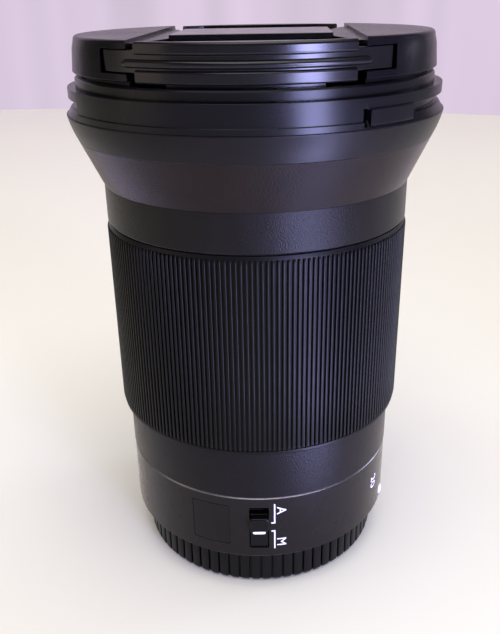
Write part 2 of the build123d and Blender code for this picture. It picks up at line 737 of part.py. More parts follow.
# Rear barrel: the shell that carries the switch slot and the badge recess
badge_z = mount_z + BADGE_RISE
with BuildPart() as rear_barrel:
    with BuildSketch(Plane.XZ):
        with BuildLine():
            Polyline(
                (sleeve_bore, rear_barrel_z),
                (rear_barrel_radius - BODY_CHAMFER, rear_barrel_z),
                (rear_barrel_radius, rear_barrel_z + BODY_CHAMFER),
                (rear_barrel_radius, seam_z - SEAM_CHAMFER),
                (rear_barrel_radius - SEAM_CHAMFER, seam_z),
                (sleeve_bore, seam_z),
                close=True,
            )
        make_face()
    revolve(axis=Axis.Z)
    with BuildSketch(Plane.XZ.offset(lower_bore)):
        with Locations((SWITCH_X, slot_z + SLOT_LENGTH / 2)):
            RectangleRounded(SLOT_WIDTH, SLOT_LENGTH, SLOT_CORNER)
    extrude(amount=rear_barrel_radius, mode=Mode.SUBTRACT)
    with BuildSketch(radial_plane(BADGE_BEARING)):
        with BuildLine():
            Polyline(
                (rear_barrel_radius - BADGE_DEPTH, badge_z),
                (rear_barrel_radius + BADGE_DEPTH, badge_z),
                (rear_barrel_radius + BADGE_DEPTH, badge_z + BADGE_LENGTH),
                (rear_barrel_radius - BADGE_DEPTH, badge_z + BADGE_LENGTH),
                close=True,
            )
        make_face()
    revolve(axis=Axis.Z, revolution_arc=BADGE_ANGLE, mode=Mode.SUBTRACT)
rear_barrel.part.label = "rear_barrel"
export_step(rear_barrel.part, "parts/rear_barrel.step")

# Badge plate, curved to the barrel and bare
badge_gap_angle = math.degrees(BADGE_GAP / rear_barrel_radius)
with BuildPart() as badge_plate:
    with BuildSketch(radial_plane(BADGE_BEARING + badge_gap_angle)):
        with BuildLine():
            Polyline(
                (rear_barrel_radius - BADGE_DEPTH, badge_z + BADGE_GAP),
                (rear_barrel_radius - BADGE_DEPTH + BADGE_THICKNESS, badge_z + BADGE_GAP),
                (rear_barrel_radius - BADGE_DEPTH + BADGE_THICKNESS, badge_z + BADGE_LENGTH - BADGE_GAP),
                (rear_barrel_radius - BADGE_DEPTH, badge_z + BADGE_LENGTH - BADGE_GAP),
                close=True,
            )
        make_face()
    revolve(axis=Axis.Z, revolution_arc=BADGE_ANGLE - 2 * badge_gap_angle)
badge_plate.part.label = "badge_plate"
export_step(badge_plate.part, "parts/badge_plate.step")

# Plain band between the rear barrel and the control ring
with BuildPart() as plain_band:
    with BuildSketch(Plane.XZ):
        with BuildLine():
            Polyline(
                (sleeve_bore, plain_band_z),
                (plain_band_radius - FINE_CHAMFER, plain_band_z),
                (plain_band_radius, plain_band_z + FINE_CHAMFER),
                (plain_band_radius, land_z - EDGE_CHAMFER),
                (plain_band_radius - EDGE_CHAMFER, land_z),
                (sleeve_bore, land_z),
                close=True,
            )
        make_face()
    revolve(axis=Axis.Z)
plain_band.part.label = "plain_band"
export_step(plain_band.part, "parts/plain_band.step")

# Switch knob, whose raised upper half is the thumb grip, and the slider behind it
knob_z = slot_z + KNOB_GAP
knob_width = SLOT_WIDTH - 2 * KNOB_GAP
with BuildPart() as switch_knob:
    with BuildSketch(Plane.XZ.offset(slider_outer)):
        with Locations((SWITCH_X, knob_z + KNOB_LENGTH / 2)):
            RectangleRounded(knob_width, KNOB_LENGTH, SLOT_CORNER - KNOB_GAP)
    extrude(amount=rear_barrel_radius - KNOB_SINK - slider_outer)
    with BuildSketch(Plane.XZ.offset(slider_outer)):
        with Locations((SWITCH_X, knob_z + KNOB_LENGTH - KNOB_GRIP_LENGTH / 2)):
            RectangleRounded(knob_width, KNOB_GRIP_LENGTH, SLOT_CORNER - KNOB_GAP)
    extrude(amount=rear_barrel_radius + KNOB_PROUD - slider_outer)
    chamfer(switch_knob.faces().sort_by(Axis.Y)[0].edges(), length=EDGE_CHAMFER)
switch_knob.part.label = "switch_knob"
export_step(switch_knob.part, "parts/switch_knob.step")

with BuildPart() as switch_slider:
    with BuildSketch(Plane.XZ.offset(slider_outer - SLIDER_THICKNESS)):
        with Locations((SWITCH_X, slot_z + SLIDER_LENGTH / 2)):
            Rectangle(SLIDER_WIDTH, SLIDER_LENGTH)
    extrude(amount=SLIDER_THICKNESS)
    with BuildSketch(Plane.XZ.offset(switch_board_outer + OPEN_GAP)):
        with Locations((SWITCH_X, chassis_inner_z + OPEN_GAP + WIPER_THICKNESS / 2)):
            Rectangle(WIPER_WIDTH, WIPER_THICKNESS)
    extrude(amount=slider_outer - SLIDER_THICKNESS - switch_board_outer - OPEN_GAP)
switch_slider.part.label = "switch_slider"
export_step(switch_slider.part, "parts/switch_slider.step")

with BuildPart() as switch_board:
    with BuildSketch(Plane.XZ.offset(switch_board_outer - SWITCH_BOARD_THICKNESS)):
        with Locations((SWITCH_X, chassis_inner_z + SWITCH_BOARD_LENGTH / 2)):
            Rectangle(SWITCH_BOARD_WIDTH, SWITCH_BOARD_LENGTH)
    extrude(amount=SWITCH_BOARD_THICKNESS)
switch_board.part.label = "switch_board"
export_step(switch_board.part, "parts/switch_board.step")

# Main circuit board on the four bosses, cut away for the motor and the switch board
board_radius = lower_bore - BOARD_EDGE_GAP
board_bore = rear_cell_radius + BOARD_BORE_GAP
motor_cut_width = 2 * (MOTOR_RADIUS + BOARD_MOTOR_GAP)
with BuildPart() as circuit_board:
    with BuildSketch(Plane.XY.offset(chassis_inner_z + BOSS_LENGTH)):
        Circle(board_radius)
        Circle(board_bore, mode=Mode.SUBTRACT)
        with Locations((0, board_radius)):
            Rectangle(motor_cut_width, 2 * (board_radius - board_bore) + 2 * BOARD_MOTOR_GAP,
                      mode=Mode.SUBTRACT)
        with Locations((SWITCH_X, -board_radius)):
            Rectangle(BOARD_NOTCH_WIDTH, 2 * (board_radius - BOARD_NOTCH_FLOOR), mode=Mode.SUBTRACT)
    extrude(amount=BOARD_THICKNESS)
circuit_board.part.label = "circuit_board"
export_step(circuit_board.part, "parts/circuit_board.step")

# Control ring: ribbed grip between two plain rims, running on the barrel's lands
grip_z = ring_z + RING_LOWER_RIM
grip_top_z = ring_top_z - RING_UPPER_RIM
ring_rim_radius = control_ring_radius - RING_RIM_STEP
with BuildPart() as control_ring:
    with BuildSketch(Plane.XY.offset(grip_z)):
        add(ribbed_section(control_ring_radius, ring_wall_bore, RING_RIBS, RING_RIB_DEPTH,
                           RING_GROOVE_WIDTH))
    extrude(amount=grip_top_z - grip_z)
    with BuildSketch(Plane.XZ):
        with BuildLine():
            Polyline(
                (ring_wall_bore, ring_z),
                (ring_rim_radius - EDGE_CHAMFER, ring_z),
                (ring_rim_radius, ring_z + EDGE_CHAMFER),
                (ring_rim_radius, grip_z),
                (ring_wall_bore, grip_z),
                close=True,
            )
        make_face()
    revolve(axis=Axis.Z)
    with BuildSketch(Plane.XZ):
        with BuildLine():
            Polyline(
                (ring_wall_bore, grip_top_z),
                (ring_rim_radius, grip_top_z),
                (ring_rim_radius - EDGE_CHAMFER, ring_top_z),
                (ring_wall_bore, ring_top_z),
                close=True,
            )
        make_face()
    revolve(axis=Axis.Z)
control_ring.part.label = "control_ring"
export_step(control_ring.part, "parts/control_ring.step")

# Encoder strip lining the ring, and the sensor that reads it through the barrel's window
strip_bore = ring_wall_bore - SLIP_FIT - STRIP_THICKNESS
with BuildPart() as encoder_strip:
    with BuildSketch(Plane.XY.offset(strip_z)):
        Circle(ring_wall_bore - SLIP_FIT)
        Circle(strip_bore, mode=Mode.SUBTRACT)
    extrude(amount=STRIP_LENGTH)
encoder_strip.part.label = "encoder_strip"
export_step(encoder_strip.part, "parts/encoder_strip.step")

sensor_reach = strip_bore - SENSOR_GAP
sensor_flange_outer = upper_bore - SENSOR_FLANGE_INSET
with BuildPart() as ring_sensor:
    with BuildSketch(Plane.YZ.offset(sensor_flange_outer)):
        with Locations((0, strip_z + STRIP_LENGTH / 2)):
            Rectangle(SENSOR_WIDTH, STRIP_LENGTH - 2 * OPEN_GAP)
    extrude(amount=sensor_reach - sensor_flange_outer)
    with BuildSketch(Plane.YZ.offset(sensor_flange_outer - SENSOR_FLANGE_THICKNESS)):
        with Locations((0, strip_z + STRIP_LENGTH / 2)):
            Rectangle(SENSOR_FLANGE_WIDTH, STRIP_LENGTH + 2 * SENSOR_FLANGE_MARGIN)
    extrude(amount=SENSOR_FLANGE_THICKNESS)
ring_sensor.part.label = "ring_sensor"
export_step(ring_sensor.part, "parts/ring_sensor.step")

# Front barrel: neck, cone and flared band, as one shell with a lip for the rings in front
lip_underside_z = lip_z - FRONT_LIP_THICKNESS
flare_middle_radius = (flare_foot_radius + flare_top_radius + FLARE_SWELL) / 2
with BuildPart() as front_barrel:
    with BuildSketch(Plane.XZ):
        with BuildLine():
            Polyline(
                (flare_top_radius, lip_z),
                (front_lip_bore, lip_z),
                (front_lip_bore, lip_underside_z),
                (flare_foot_radius - FRONT_WALL, lip_underside_z),
                (flare_foot_radius - FRONT_WALL, flare_z),
                (cone_top_radius - FRONT_WALL, cone_top_z),
                (neck_radius - FRONT_WALL, cone_z),
                (neck_radius - FRONT_WALL, front_barrel_z + FRONT_FLANGE_LENGTH),
                (sleeve_bore, front_barrel_z + FRONT_FLANGE_LENGTH),
                (sleeve_bore, front_barrel_z),
                (neck_radius - EDGE_CHAMFER, front_barrel_z),
                (neck_radius, front_barrel_z + EDGE_CHAMFER),
                (neck_radius, cone_z),
                (cone_top_radius, cone_top_z),
                (flare_foot_radius, flare_z),
            )
            ThreePointArc(
                (flare_foot_radius, flare_z),
                (flare_middle_radius, flare_z + FLARE_LENGTH / 2),
                (flare_top_radius, lip_z),
            )
        make_face()
    revolve(axis=Axis.Z)
front_barrel.part.label = "front_barrel"
export_step(front_barrel.part, "parts/front_barrel.step")

# Hood bayonet ring: two recessed quarters, each with a ramp below, a lip above and a stop slot
with BuildPart() as hood_ring:
    with BuildSketch(Plane.XZ):
        with BuildLine():
            Polyline(
                (hood_bore, lip_z),
                (ridge_radius, lip_z),
                (ridge_radius, bayonet_z),
                (bayonet_radius, bayonet_z),
                (bayonet_radius, bayonet_top_z),
                (hood_bore, bayonet_top_z),
                close=True,
            )
        make_face()
    revolve(axis=Axis.Z)
    for sector in range(BAYONET_SECTORS):
        sector_start = BAYONET_START + sector * 360 / BAYONET_SECTORS
        with BuildSketch(radial_plane(sector_start)):
            with BuildLine():
                Polyline(
                    (groove_floor_radius, bayonet_z + GROOVE_RISE),
                    (ramp_top_radius, bayonet_z + GROOVE_RISE),
                    (ridge_radius, lip_z),
                    (ridge_radius + OPEN_GAP, lip_z),
                    (ridge_radius + OPEN_GAP, bayonet_z + GROOVE_RISE + GROOVE_WIDTH),
                    (groove_floor_radius, bayonet_z + GROOVE_RISE + GROOVE_WIDTH),
                    close=True,
                )
            make_face()
        revolve(axis=Axis.Z, revolution_arc=BAYONET_ANGLE, mode=Mode.SUBTRACT)
        with BuildSketch(radial_plane(sector_start - STOP_SLOT_LEAD)):
            with BuildLine():
                Polyline(
                    (groove_floor_radius, bayonet_z - STOP_SLOT_DROP),
                    (ridge_radius + OPEN_GAP, bayonet_z - STOP_SLOT_DROP),
                    (ridge_radius + OPEN_GAP, bayonet_z + GROOVE_RISE + GROOVE_WIDTH + STOP_SLOT_TOP),
                    (groove_floor_radius, bayonet_z + GROOVE_RISE + GROOVE_WIDTH + STOP_SLOT_TOP),
                    close=True,
                )
            make_face()
        revolve(axis=Axis.Z, revolution_arc=STOP_SLOT_ANGLE, mode=Mode.SUBTRACT)
hood_ring.part.label = "hood_ring"
export_step(hood_ring.part, "parts/hood_ring.step")

# Filter ring: seated on the front barrel's lip, its thread drawn as a plain bore
with BuildPart() as filter_ring:
    with BuildSketch(Plane.XZ):
        with BuildLine():
            Polyline(
                (filter_bore, lip_z),
                (filter_body_radius, lip_z),
                (filter_body_radius, bayonet_top_z + SEAM_GAP),
                (filter_rim_radius, bayonet_top_z + SEAM_GAP),
                (filter_rim_radius, filter_top_z - FILTER_CHAMFER),
                (filter_rim_radius - FILTER_CHAMFER, filter_top_z),
                (FILTER_THREAD_RADIUS, filter_top_z),
                (FILTER_THREAD_RADIUS, filter_top_z - FILTER_THREAD_LENGTH),
                (filter_bore, filter_top_z - FILTER_THREAD_LENGTH),
                close=True,
            )
        make_face()
    revolve(axis=Axis.Z)
filter_ring.part.label = "filter_ring"
export_step(filter_ring.part, "parts/filter_ring.step")

# Front trim: the bare stepped ring round the front glass, seated on the lip and the front cell
trim_bore = FRONT_ELEMENT_RADIUS - TRIM_OVERLAP
trim_radius = filter_bore - SLIP_FIT
trim_foot_radius = front_lip_bore - SLIP_FIT
trim_step_width = (trim_foot_radius - TRIM_THICKNESS - trim_bore) / TRIM_STEPS
trim_step_height = (TRIM_RISE - TRIM_THICKNESS) / TRIM_STEPS
trim_stairs = []
for step in range(TRIM_STEPS):
    step_radius = trim_bore + step * trim_step_width
    step_top_z = lip_underside_z + TRIM_THICKNESS + step * trim_step_height
    trim_stairs.append((step_radius, step_top_z))
    trim_stairs.append((step_radius + trim_step_width, step_top_z))
with BuildPart() as front_trim:
    with BuildSketch(Plane.XZ):
        with BuildLine():
            Polyline(
                (trim_bore, lip_underside_z),
                *trim_stairs,
                (trim_foot_radius - TRIM_THICKNESS, lip_underside_z + TRIM_RISE),
                (trim_radius, lip_underside_z + TRIM_RISE),
                (trim_radius, lip_z),
                (trim_foot_radius, lip_z),
                (trim_foot_radius, lip_underside_z),
                close=True,
            )
        make_face()
    revolve(axis=Axis.Z)
front_trim.part.label = "front_trim"
export_step(front_trim.part, "parts/front_trim.step")

# Front cell: one stepped tube that holds five pieces of glass, each on its own shoulder
front_seat_z = chassis_top_z + FRONT_ELEMENT_SEAT
second_seat_z = chassis_top_z + SECOND_ELEMENT_SEAT
third_seat_z = chassis_top_z + THIRD_ELEMENT_SEAT
doublet_seat_z = chassis_top_z + FRONT_DOUBLET_SEAT
fifth_seat_z = chassis_top_z + FIFTH_ELEMENT_SEAT
cell_rear_z = chassis_top_z - CELL_REAR_DROP
cell_flange_z = chassis_top_z + CELL_FLANGE_LENGTH
rear_tube_radius = THIRD_ELEMENT_RADIUS + CELL_WALL
neck_tube_radius = top_flange_bore - SLIP_FIT
cell_screw_floor_z = front_seat_z - PIN_END_GAP - CELL_SCREW_HEAD_HEIGHT
with BuildPart() as front_cell:
    with BuildSketch(Plane.XZ):
        with BuildLine():
            Polyline(
                (fifth_element_radius - CELL_LIP, cell_rear_z),
                (rear_tube_radius, cell_rear_z),
                (rear_tube_radius, second_seat_z - CELL_WALL),
                (neck_tube_radius, second_seat_z - CELL_WALL),
                (neck_tube_radius, chassis_top_z),
                (cell_flange_radius, chassis_top_z),
                (cell_flange_radius, cell_flange_z),
                (cell_head_radius, cell_flange_z),
                (cell_head_radius, lip_underside_z),
                (FRONT_ELEMENT_RADIUS + SLIP_FIT, lip_underside_z),
                (FRONT_ELEMENT_RADIUS + SLIP_FIT, front_seat_z),
                (SECOND_ELEMENT_RADIUS + SLIP_FIT, front_seat_z),
                (SECOND_ELEMENT_RADIUS + SLIP_FIT, second_seat_z),
                (THIRD_ELEMENT_RADIUS + SLIP_FIT, second_seat_z),
                (THIRD_ELEMENT_RADIUS + SLIP_FIT, third_seat_z),
                (front_doublet_radius + SLIP_FIT, third_seat_z),
                (front_doublet_radius + SLIP_FIT, doublet_seat_z),
                (fifth_element_radius + SLIP_FIT, doublet_seat_z),
                (fifth_element_radius + SLIP_FIT, fifth_seat_z),
                (fifth_element_radius - CELL_LIP, fifth_seat_z),
                close=True,
            )
        make_face()
    revolve(axis=Axis.Z)
    with BuildSketch(Plane.XY.offset(cell_screw_floor_z)):
        with PolarLocations(CELL_SCREW_CIRCLE, CELL_SCREW_COUNT, CELL_SCREW_START):
            Circle(CELL_SCREW_HEAD_RADIUS + SLIP_FIT)
    extrude(amount=front_seat_z - cell_screw_floor_z, mode=Mode.SUBTRACT)
    with BuildSketch(Plane.XY.offset(chassis_top_z)):
        with PolarLocations(CELL_SCREW_CIRCLE, CELL_SCREW_COUNT, CELL_SCREW_START):
            Circle(SCREW_RADIUS + SLIP_FIT)
    extrude(amount=cell_screw_floor_z - chassis_top_z, mode=Mode.SUBTRACT)
front_cell.part.label = "front_cell"
export_step(front_cell.part, "parts/front_cell.step")

with BuildPart() as front_cell_screws:
    with BuildSketch(Plane.XY.offset(cell_screw_floor_z)):
        with PolarLocations(CELL_SCREW_CIRCLE, CELL_SCREW_COUNT, CELL_SCREW_START):
            Circle(CELL_SCREW_HEAD_RADIUS)
    extrude(amount=CELL_SCREW_HEAD_HEIGHT)
    with BuildSketch(Plane.XY.offset(chassis_top_z - CELL_SCREW_DEPTH)):
        with PolarLocations(CELL_SCREW_CIRCLE, CELL_SCREW_COUNT, CELL_SCREW_START):
            Circle(SCREW_RADIUS)
    extrude(amount=cell_screw_floor_z - chassis_top_z + CELL_SCREW_DEPTH)
front_cell_screws.part.label = "front_cell_screws"
export_step(front_cell_screws.part, "parts/front_cell_screws.step")

# Glass of the front cell
with BuildPart() as front_element:
    with BuildSketch(Plane.XZ):
        add(glass_section(FRONT_ELEMENT_RADIUS, front_seat_z, FRONT_ELEMENT_EDGE, FRONT_ELEMENT_SAGS))
    revolve(axis=Axis.Z)
front_element.part.label = "front_element"
export_step(front_element.part, "parts/front_element.step")

with BuildPart() as second_element:
    with BuildSketch(Plane.XZ):
        add(glass_section(SECOND_ELEMENT_RADIUS, second_seat_z, SECOND_ELEMENT_EDGE, SECOND_ELEMENT_SAGS))
    revolve(axis=Axis.Z)
second_element.part.label = "second_element"
export_step(second_element.part, "parts/second_element.step")

with BuildPart() as third_element:
    with BuildSketch(Plane.XZ):
        add(glass_section(THIRD_ELEMENT_RADIUS, third_seat_z, THIRD_ELEMENT_EDGE, THIRD_ELEMENT_SAGS))
    revolve(axis=Axis.Z)
third_element.part.label = "third_element"
export_step(third_element.part, "parts/third_element.step")

with BuildPart() as front_doublet:
    with BuildSketch(Plane.XZ):
        add(glass_section(front_doublet_radius, doublet_seat_z, FRONT_DOUBLET_EDGE, FRONT_DOUBLET_SAGS))
    revolve(axis=Axis.Z)
front_doublet.part.label = "front_doublet"
export_step(front_doublet.part, "parts/front_doublet.step")

with BuildPart() as fifth_element:
    with BuildSketch(Plane.XZ):
        add(glass_section(fifth_element_radius, fifth_seat_z, FIFTH_ELEMENT_EDGE, FIFTH_ELEMENT_SAGS))
    revolve(axis=Axis.Z)
fifth_element.part.label = "fifth_element"
export_step(fifth_element.part, "parts/fifth_element.step")

with BuildPart() as front_retainer:
    with BuildSketch(Plane.XY.offset(front_seat_z + FRONT_ELEMENT_EDGE)):
        Circle(FRONT_ELEMENT_RADIUS)
        Circle(FRONT_ELEMENT_RADIUS - RETAINER_WIDTH, mode=Mode.SUBTRACT)
    extrude(amount=RETAINER_THICKNESS)
front_retainer.part.label = "front_retainer"
export_step(front_retainer.part, "parts/front_retainer.step")

# Iris housing: a plate that the blades pivot on, inside a stepped wall for the ring and cover
plate_top_z = iris_seat_z + IRIS_PLATE_THICKNESS
first_blade_z = plate_top_z + BLADE_FLOOR_GAP
iris_ring_z = plate_top_z + IRIS_RING_RISE
iris_ring_top_z = iris_ring_z + IRIS_RING_THICKNESS
cover_z = iris_ring_top_z + IRIS_COVER_RISE
iris_wall_bore = iris_ring_radius + RUNNING_FIT
cover_wall_bore = iris_wall_bore + IRIS_COVER_LEDGE
iris_wall_radius = cover_wall_bore + IRIS_WALL / 2
iris_flange_radius = upper_bore - SLIP_FIT
lead_screw_bore = LEAD_SCREW_RADIUS + RUNNING_FIT
pin_bore = PIN_RADIUS + RUNNING_FIT
with BuildPart() as iris_housing:
    with BuildSketch(Plane.XZ):
        with BuildLine():
            Polyline(
                (IRIS_OPENING, iris_seat_z),
                (iris_flange_radius, iris_seat_z),
                (iris_flange_radius, plate_top_z),
                (iris_wall_radius, plate_top_z),
                (iris_wall_radius, cover_z + IRIS_RIM_LENGTH),
                (cover_wall_bore, cover_z + IRIS_RIM_LENGTH),
                (cover_wall_bore, cover_z),
                (iris_wall_bore, cover_z),
                (iris_wall_bore, iris_ring_z - IRIS_RING_PLAY),
                (iris_wall_bore - IRIS_RING_LEDGE, iris_ring_z - IRIS_RING_PLAY),
                (iris_wall_bore - IRIS_RING_LEDGE, plate_top_z),
                (IRIS_OPENING, plate_top_z),
                close=True,
            )
        make_face()
    revolve(axis=Axis.Z)
    with BuildSketch(Plane.XY.offset(iris_seat_z)):
        with PolarLocations(pivot_circle, BLADE_COUNT):
            Circle(pin_bore)
        with Locations((0, motor_reach)):
            Circle(lead_screw_bore)
    extrude(amount=IRIS_PLATE_THICKNESS, mode=Mode.SUBTRACT)
iris_housing.part.label = "iris_housing"
export_step(iris_housing.part, "parts/iris_housing.step")

with BuildPart() as iris_cover:
    with BuildSketch(Plane.XY.offset(cover_z)):
        Circle(cover_wall_bore - SLIP_FIT)
        Circle(iris_cover_bore, mode=Mode.SUBTRACT)
    extrude(amount=IRIS_COVER_THICKNESS)
iris_cover.part.label = "iris_cover"
export_step(iris_cover.part, "parts/iris_cover.step")


def drive_pin_place(closing):
    """Where a blade's drive pin stands in its cam slot when the blade has closed by so many degrees."""
    swing = math.radians(closing)
    pin_x = pivot_circle + DRIVE_ARM * math.cos(swing)
    pin_y = DRIVE_ARM * math.sin(swing)
    reach = math.hypot(pin_x, pin_y)
    angle = math.atan2(pin_y, pin_x) - math.radians(closing / IRIS_RATIO)
    return (reach * math.cos(angle), reach * math.sin(angle))


# Iris ring: one cam slot for each blade, along the path that the blade's pin takes in the ring
with BuildLine() as cam_path:
    ThreePointArc(drive_pin_place(0), drive_pin_place(BLADE_CLOSING / 2), drive_pin_place(BLADE_CLOSING))
with BuildPart() as iris_ring:
    with BuildSketch(Plane.XY.offset(iris_ring_z)):
        Circle(iris_ring_radius)
        Circle(iris_ring_bore, mode=Mode.SUBTRACT)
        with PolarLocations(0, BLADE_COUNT):
            SlotArc(cam_path.line.edge(), 2 * (PIN_RADIUS + CAM_SLOT_GAP), mode=Mode.SUBTRACT)
    extrude(amount=IRIS_RING_THICKNESS)
iris_ring.part.label = "iris_ring"
export_step(iris_ring.part, "parts/iris_ring.step")

# Iris blades, each on a level of its own, a pivot pin below and a drive pin above
blade_middle = (blade_inner + blade_outer) / 2
blade_start = -BLADE_LEAD
blade_end = BLADE_SWEEP - BLADE_LEAD
for number in range(BLADE_COUNT):
    blade_z = first_blade_z + number * BLADE_PITCH
    blade_angle = number * 360 / BLADE_COUNT
    blade_plane = Plane.XY.rotated((0, 0, blade_angle))
    with BuildPart() as blade:
        with BuildSketch(blade_plane.offset(blade_z)):
            with BuildLine():
                CenterArc((0, 0), blade_outer, blade_start, BLADE_SWEEP)
                CenterArc((0, 0), blade_inner, blade_start, BLADE_SWEEP)
                for edge_angle in (blade_start, blade_end):
                    edge_x = math.cos(math.radians(edge_angle))
                    edge_y = math.sin(math.radians(edge_angle))
                    Line((blade_inner * edge_x, blade_inner * edge_y),
                         (blade_outer * edge_x, blade_outer * edge_y))
            make_face()
            with Locations(((blade_middle + pivot_circle + DRIVE_ARM) / 2, 0)):
                SlotOverall(pivot_circle + DRIVE_ARM - blade_middle + TAB_WIDTH / 2, TAB_WIDTH)
        extrude(amount=BLADE_THICKNESS)
        with BuildSketch(blade_plane.offset(iris_seat_z + PIN_END_GAP)):
            with Locations((pivot_circle, 0)):
                Circle(PIN_RADIUS)
        extrude(amount=blade_z - iris_seat_z - PIN_END_GAP)
        with BuildSketch(blade_plane.offset(blade_z + BLADE_THICKNESS)):
            with Locations((pivot_circle + DRIVE_ARM, 0)):
                Circle(PIN_RADIUS)
        extrude(amount=iris_ring_top_z + PIN_END_GAP - blade_z - BLADE_THICKNESS)
    blade_name = f"blade_{number + 1}"
    blade.part.label = blade_name
    export_step(blade.part, f"parts/{blade_name}.step")

# Rear cell: the tube of the three rear pieces of glass, hung from its flange in the main barrel
cell_top_z = rear_ledge_z + REAR_CELL_FLANGE
rear_cell_z = rear_ledge_z - REAR_CELL_LENGTH
rear_doublet_z = cell_top_z - REAR_CELL_LIP - REAR_DOUBLET_EDGE
asphere_top_z = rear_ledge_z - ASPHERE_DROP
asphere_z = asphere_top_z - ASPHERE_EDGE
rear_element_top_z = rear_ledge_z - REAR_ELEMENT_DROP
rear_element_z = rear_element_top_z - REAR_ELEMENT_EDGE
with BuildPart() as rear_cell:
    with BuildSketch(Plane.XZ):
        with BuildLine():
            Polyline(
                (rear_element_radius + SLIP_FIT, rear_cell_z),
                (rear_cell_radius, rear_cell_z),
                (rear_cell_radius, rear_ledge_z),
                (lower_bore - SLIP_FIT, rear_ledge_z),
                (lower_bore - SLIP_FIT, cell_top_z),
                (REAR_DOUBLET_RADIUS - REAR_CELL_LIP, cell_top_z),
                (REAR_DOUBLET_RADIUS - REAR_CELL_LIP, cell_top_z - REAR_CELL_LIP),
                (REAR_DOUBLET_RADIUS + SLIP_FIT, cell_top_z - REAR_CELL_LIP),
                (REAR_DOUBLET_RADIUS + SLIP_FIT, asphere_top_z),
                (asphere_radius + SLIP_FIT, asphere_top_z),
                (asphere_radius + SLIP_FIT, rear_element_top_z),
                (rear_element_radius + SLIP_FIT, rear_element_top_z),
                close=True,
            )
        make_face()
    revolve(axis=Axis.Z)
    with BuildSketch(Plane.XY.offset(rear_ledge_z)):
        with Locations((0, motor_reach)):
            Circle(lead_screw_bore)
    extrude(amount=REAR_CELL_FLANGE, mode=Mode.SUBTRACT)
rear_cell.part.label = "rear_cell"
export_step(rear_cell.part, "parts/rear_cell.step")

with BuildPart() as rear_doublet:
    with BuildSketch(Plane.XZ):
        add(glass_section(REAR_DOUBLET_RADIUS, rear_doublet_z, REAR_DOUBLET_EDGE, REAR_DOUBLET_SAGS))
    revolve(axis=Axis.Z)
rear_doublet.part.label = "rear_doublet"
export_step(rear_doublet.part, "parts/rear_doublet.step")

with BuildPart() as aspheric_element:
    with BuildSketch(Plane.XZ):
        add(glass_section(asphere_radius, asphere_z, ASPHERE_EDGE, ASPHERE_SAGS))
    revolve(axis=Axis.Z)
aspheric_element.part.label = "aspheric_element"
export_step(aspheric_element.part, "parts/aspheric_element.step")

with BuildPart() as rear_element:
    with BuildSketch(Plane.XZ):
        add(glass_section(rear_element_radius, rear_element_z, REAR_ELEMENT_EDGE, REAR_ELEMENT_SAGS))
    revolve(axis=Axis.Z)
rear_element.part.label = "rear_element"
export_step(rear_element.part, "parts/rear_element.step")

# Focus drive: two rods between the rear cell and the iris plate, a motor and its lead screw
with BuildPart() as guide_rods:
    with BuildSketch(Plane.XY.offset(cell_top_z)):
        with Locations((-ROD_REACH, 0), (ROD_REACH, 0)):
            Circle(ROD_RADIUS)
    extrude(amount=iris_seat_z - cell_top_z)
guide_rods.part.label = "guide_rods"
export_step(guide_rods.part, "parts/guide_rods.step")

motor_top_z = chassis_inner_z + MOTOR_LENGTH
with BuildPart() as focus_motor:
    with BuildSketch(Plane.XY.offset(chassis_inner_z)):
        with Locations((0, motor_reach)):
            Circle(MOTOR_RADIUS)
    extrude(amount=MOTOR_LENGTH)
    with BuildSketch(Plane.XY.offset(motor_top_z)):
        with Locations((0, motor_reach)):
            Circle(lead_screw_bore)
    extrude(amount=-LEAD_SCREW_DEPTH - PIN_END_GAP, mode=Mode.SUBTRACT)
focus_motor.part.label = "focus_motor"
export_step(focus_motor.part, "parts/focus_motor.step")

with BuildPart() as lead_screw:
    with BuildSketch(Plane.XY.offset(motor_top_z - LEAD_SCREW_DEPTH)):
        with Locations((0, motor_reach)):
            Circle(LEAD_SCREW_RADIUS)
    extrude(amount=plate_top_z - PIN_END_GAP - motor_top_z + LEAD_SCREW_DEPTH)
lead_screw.part.label = "lead_screw"
export_step(lead_screw.part, "parts/lead_screw.step")

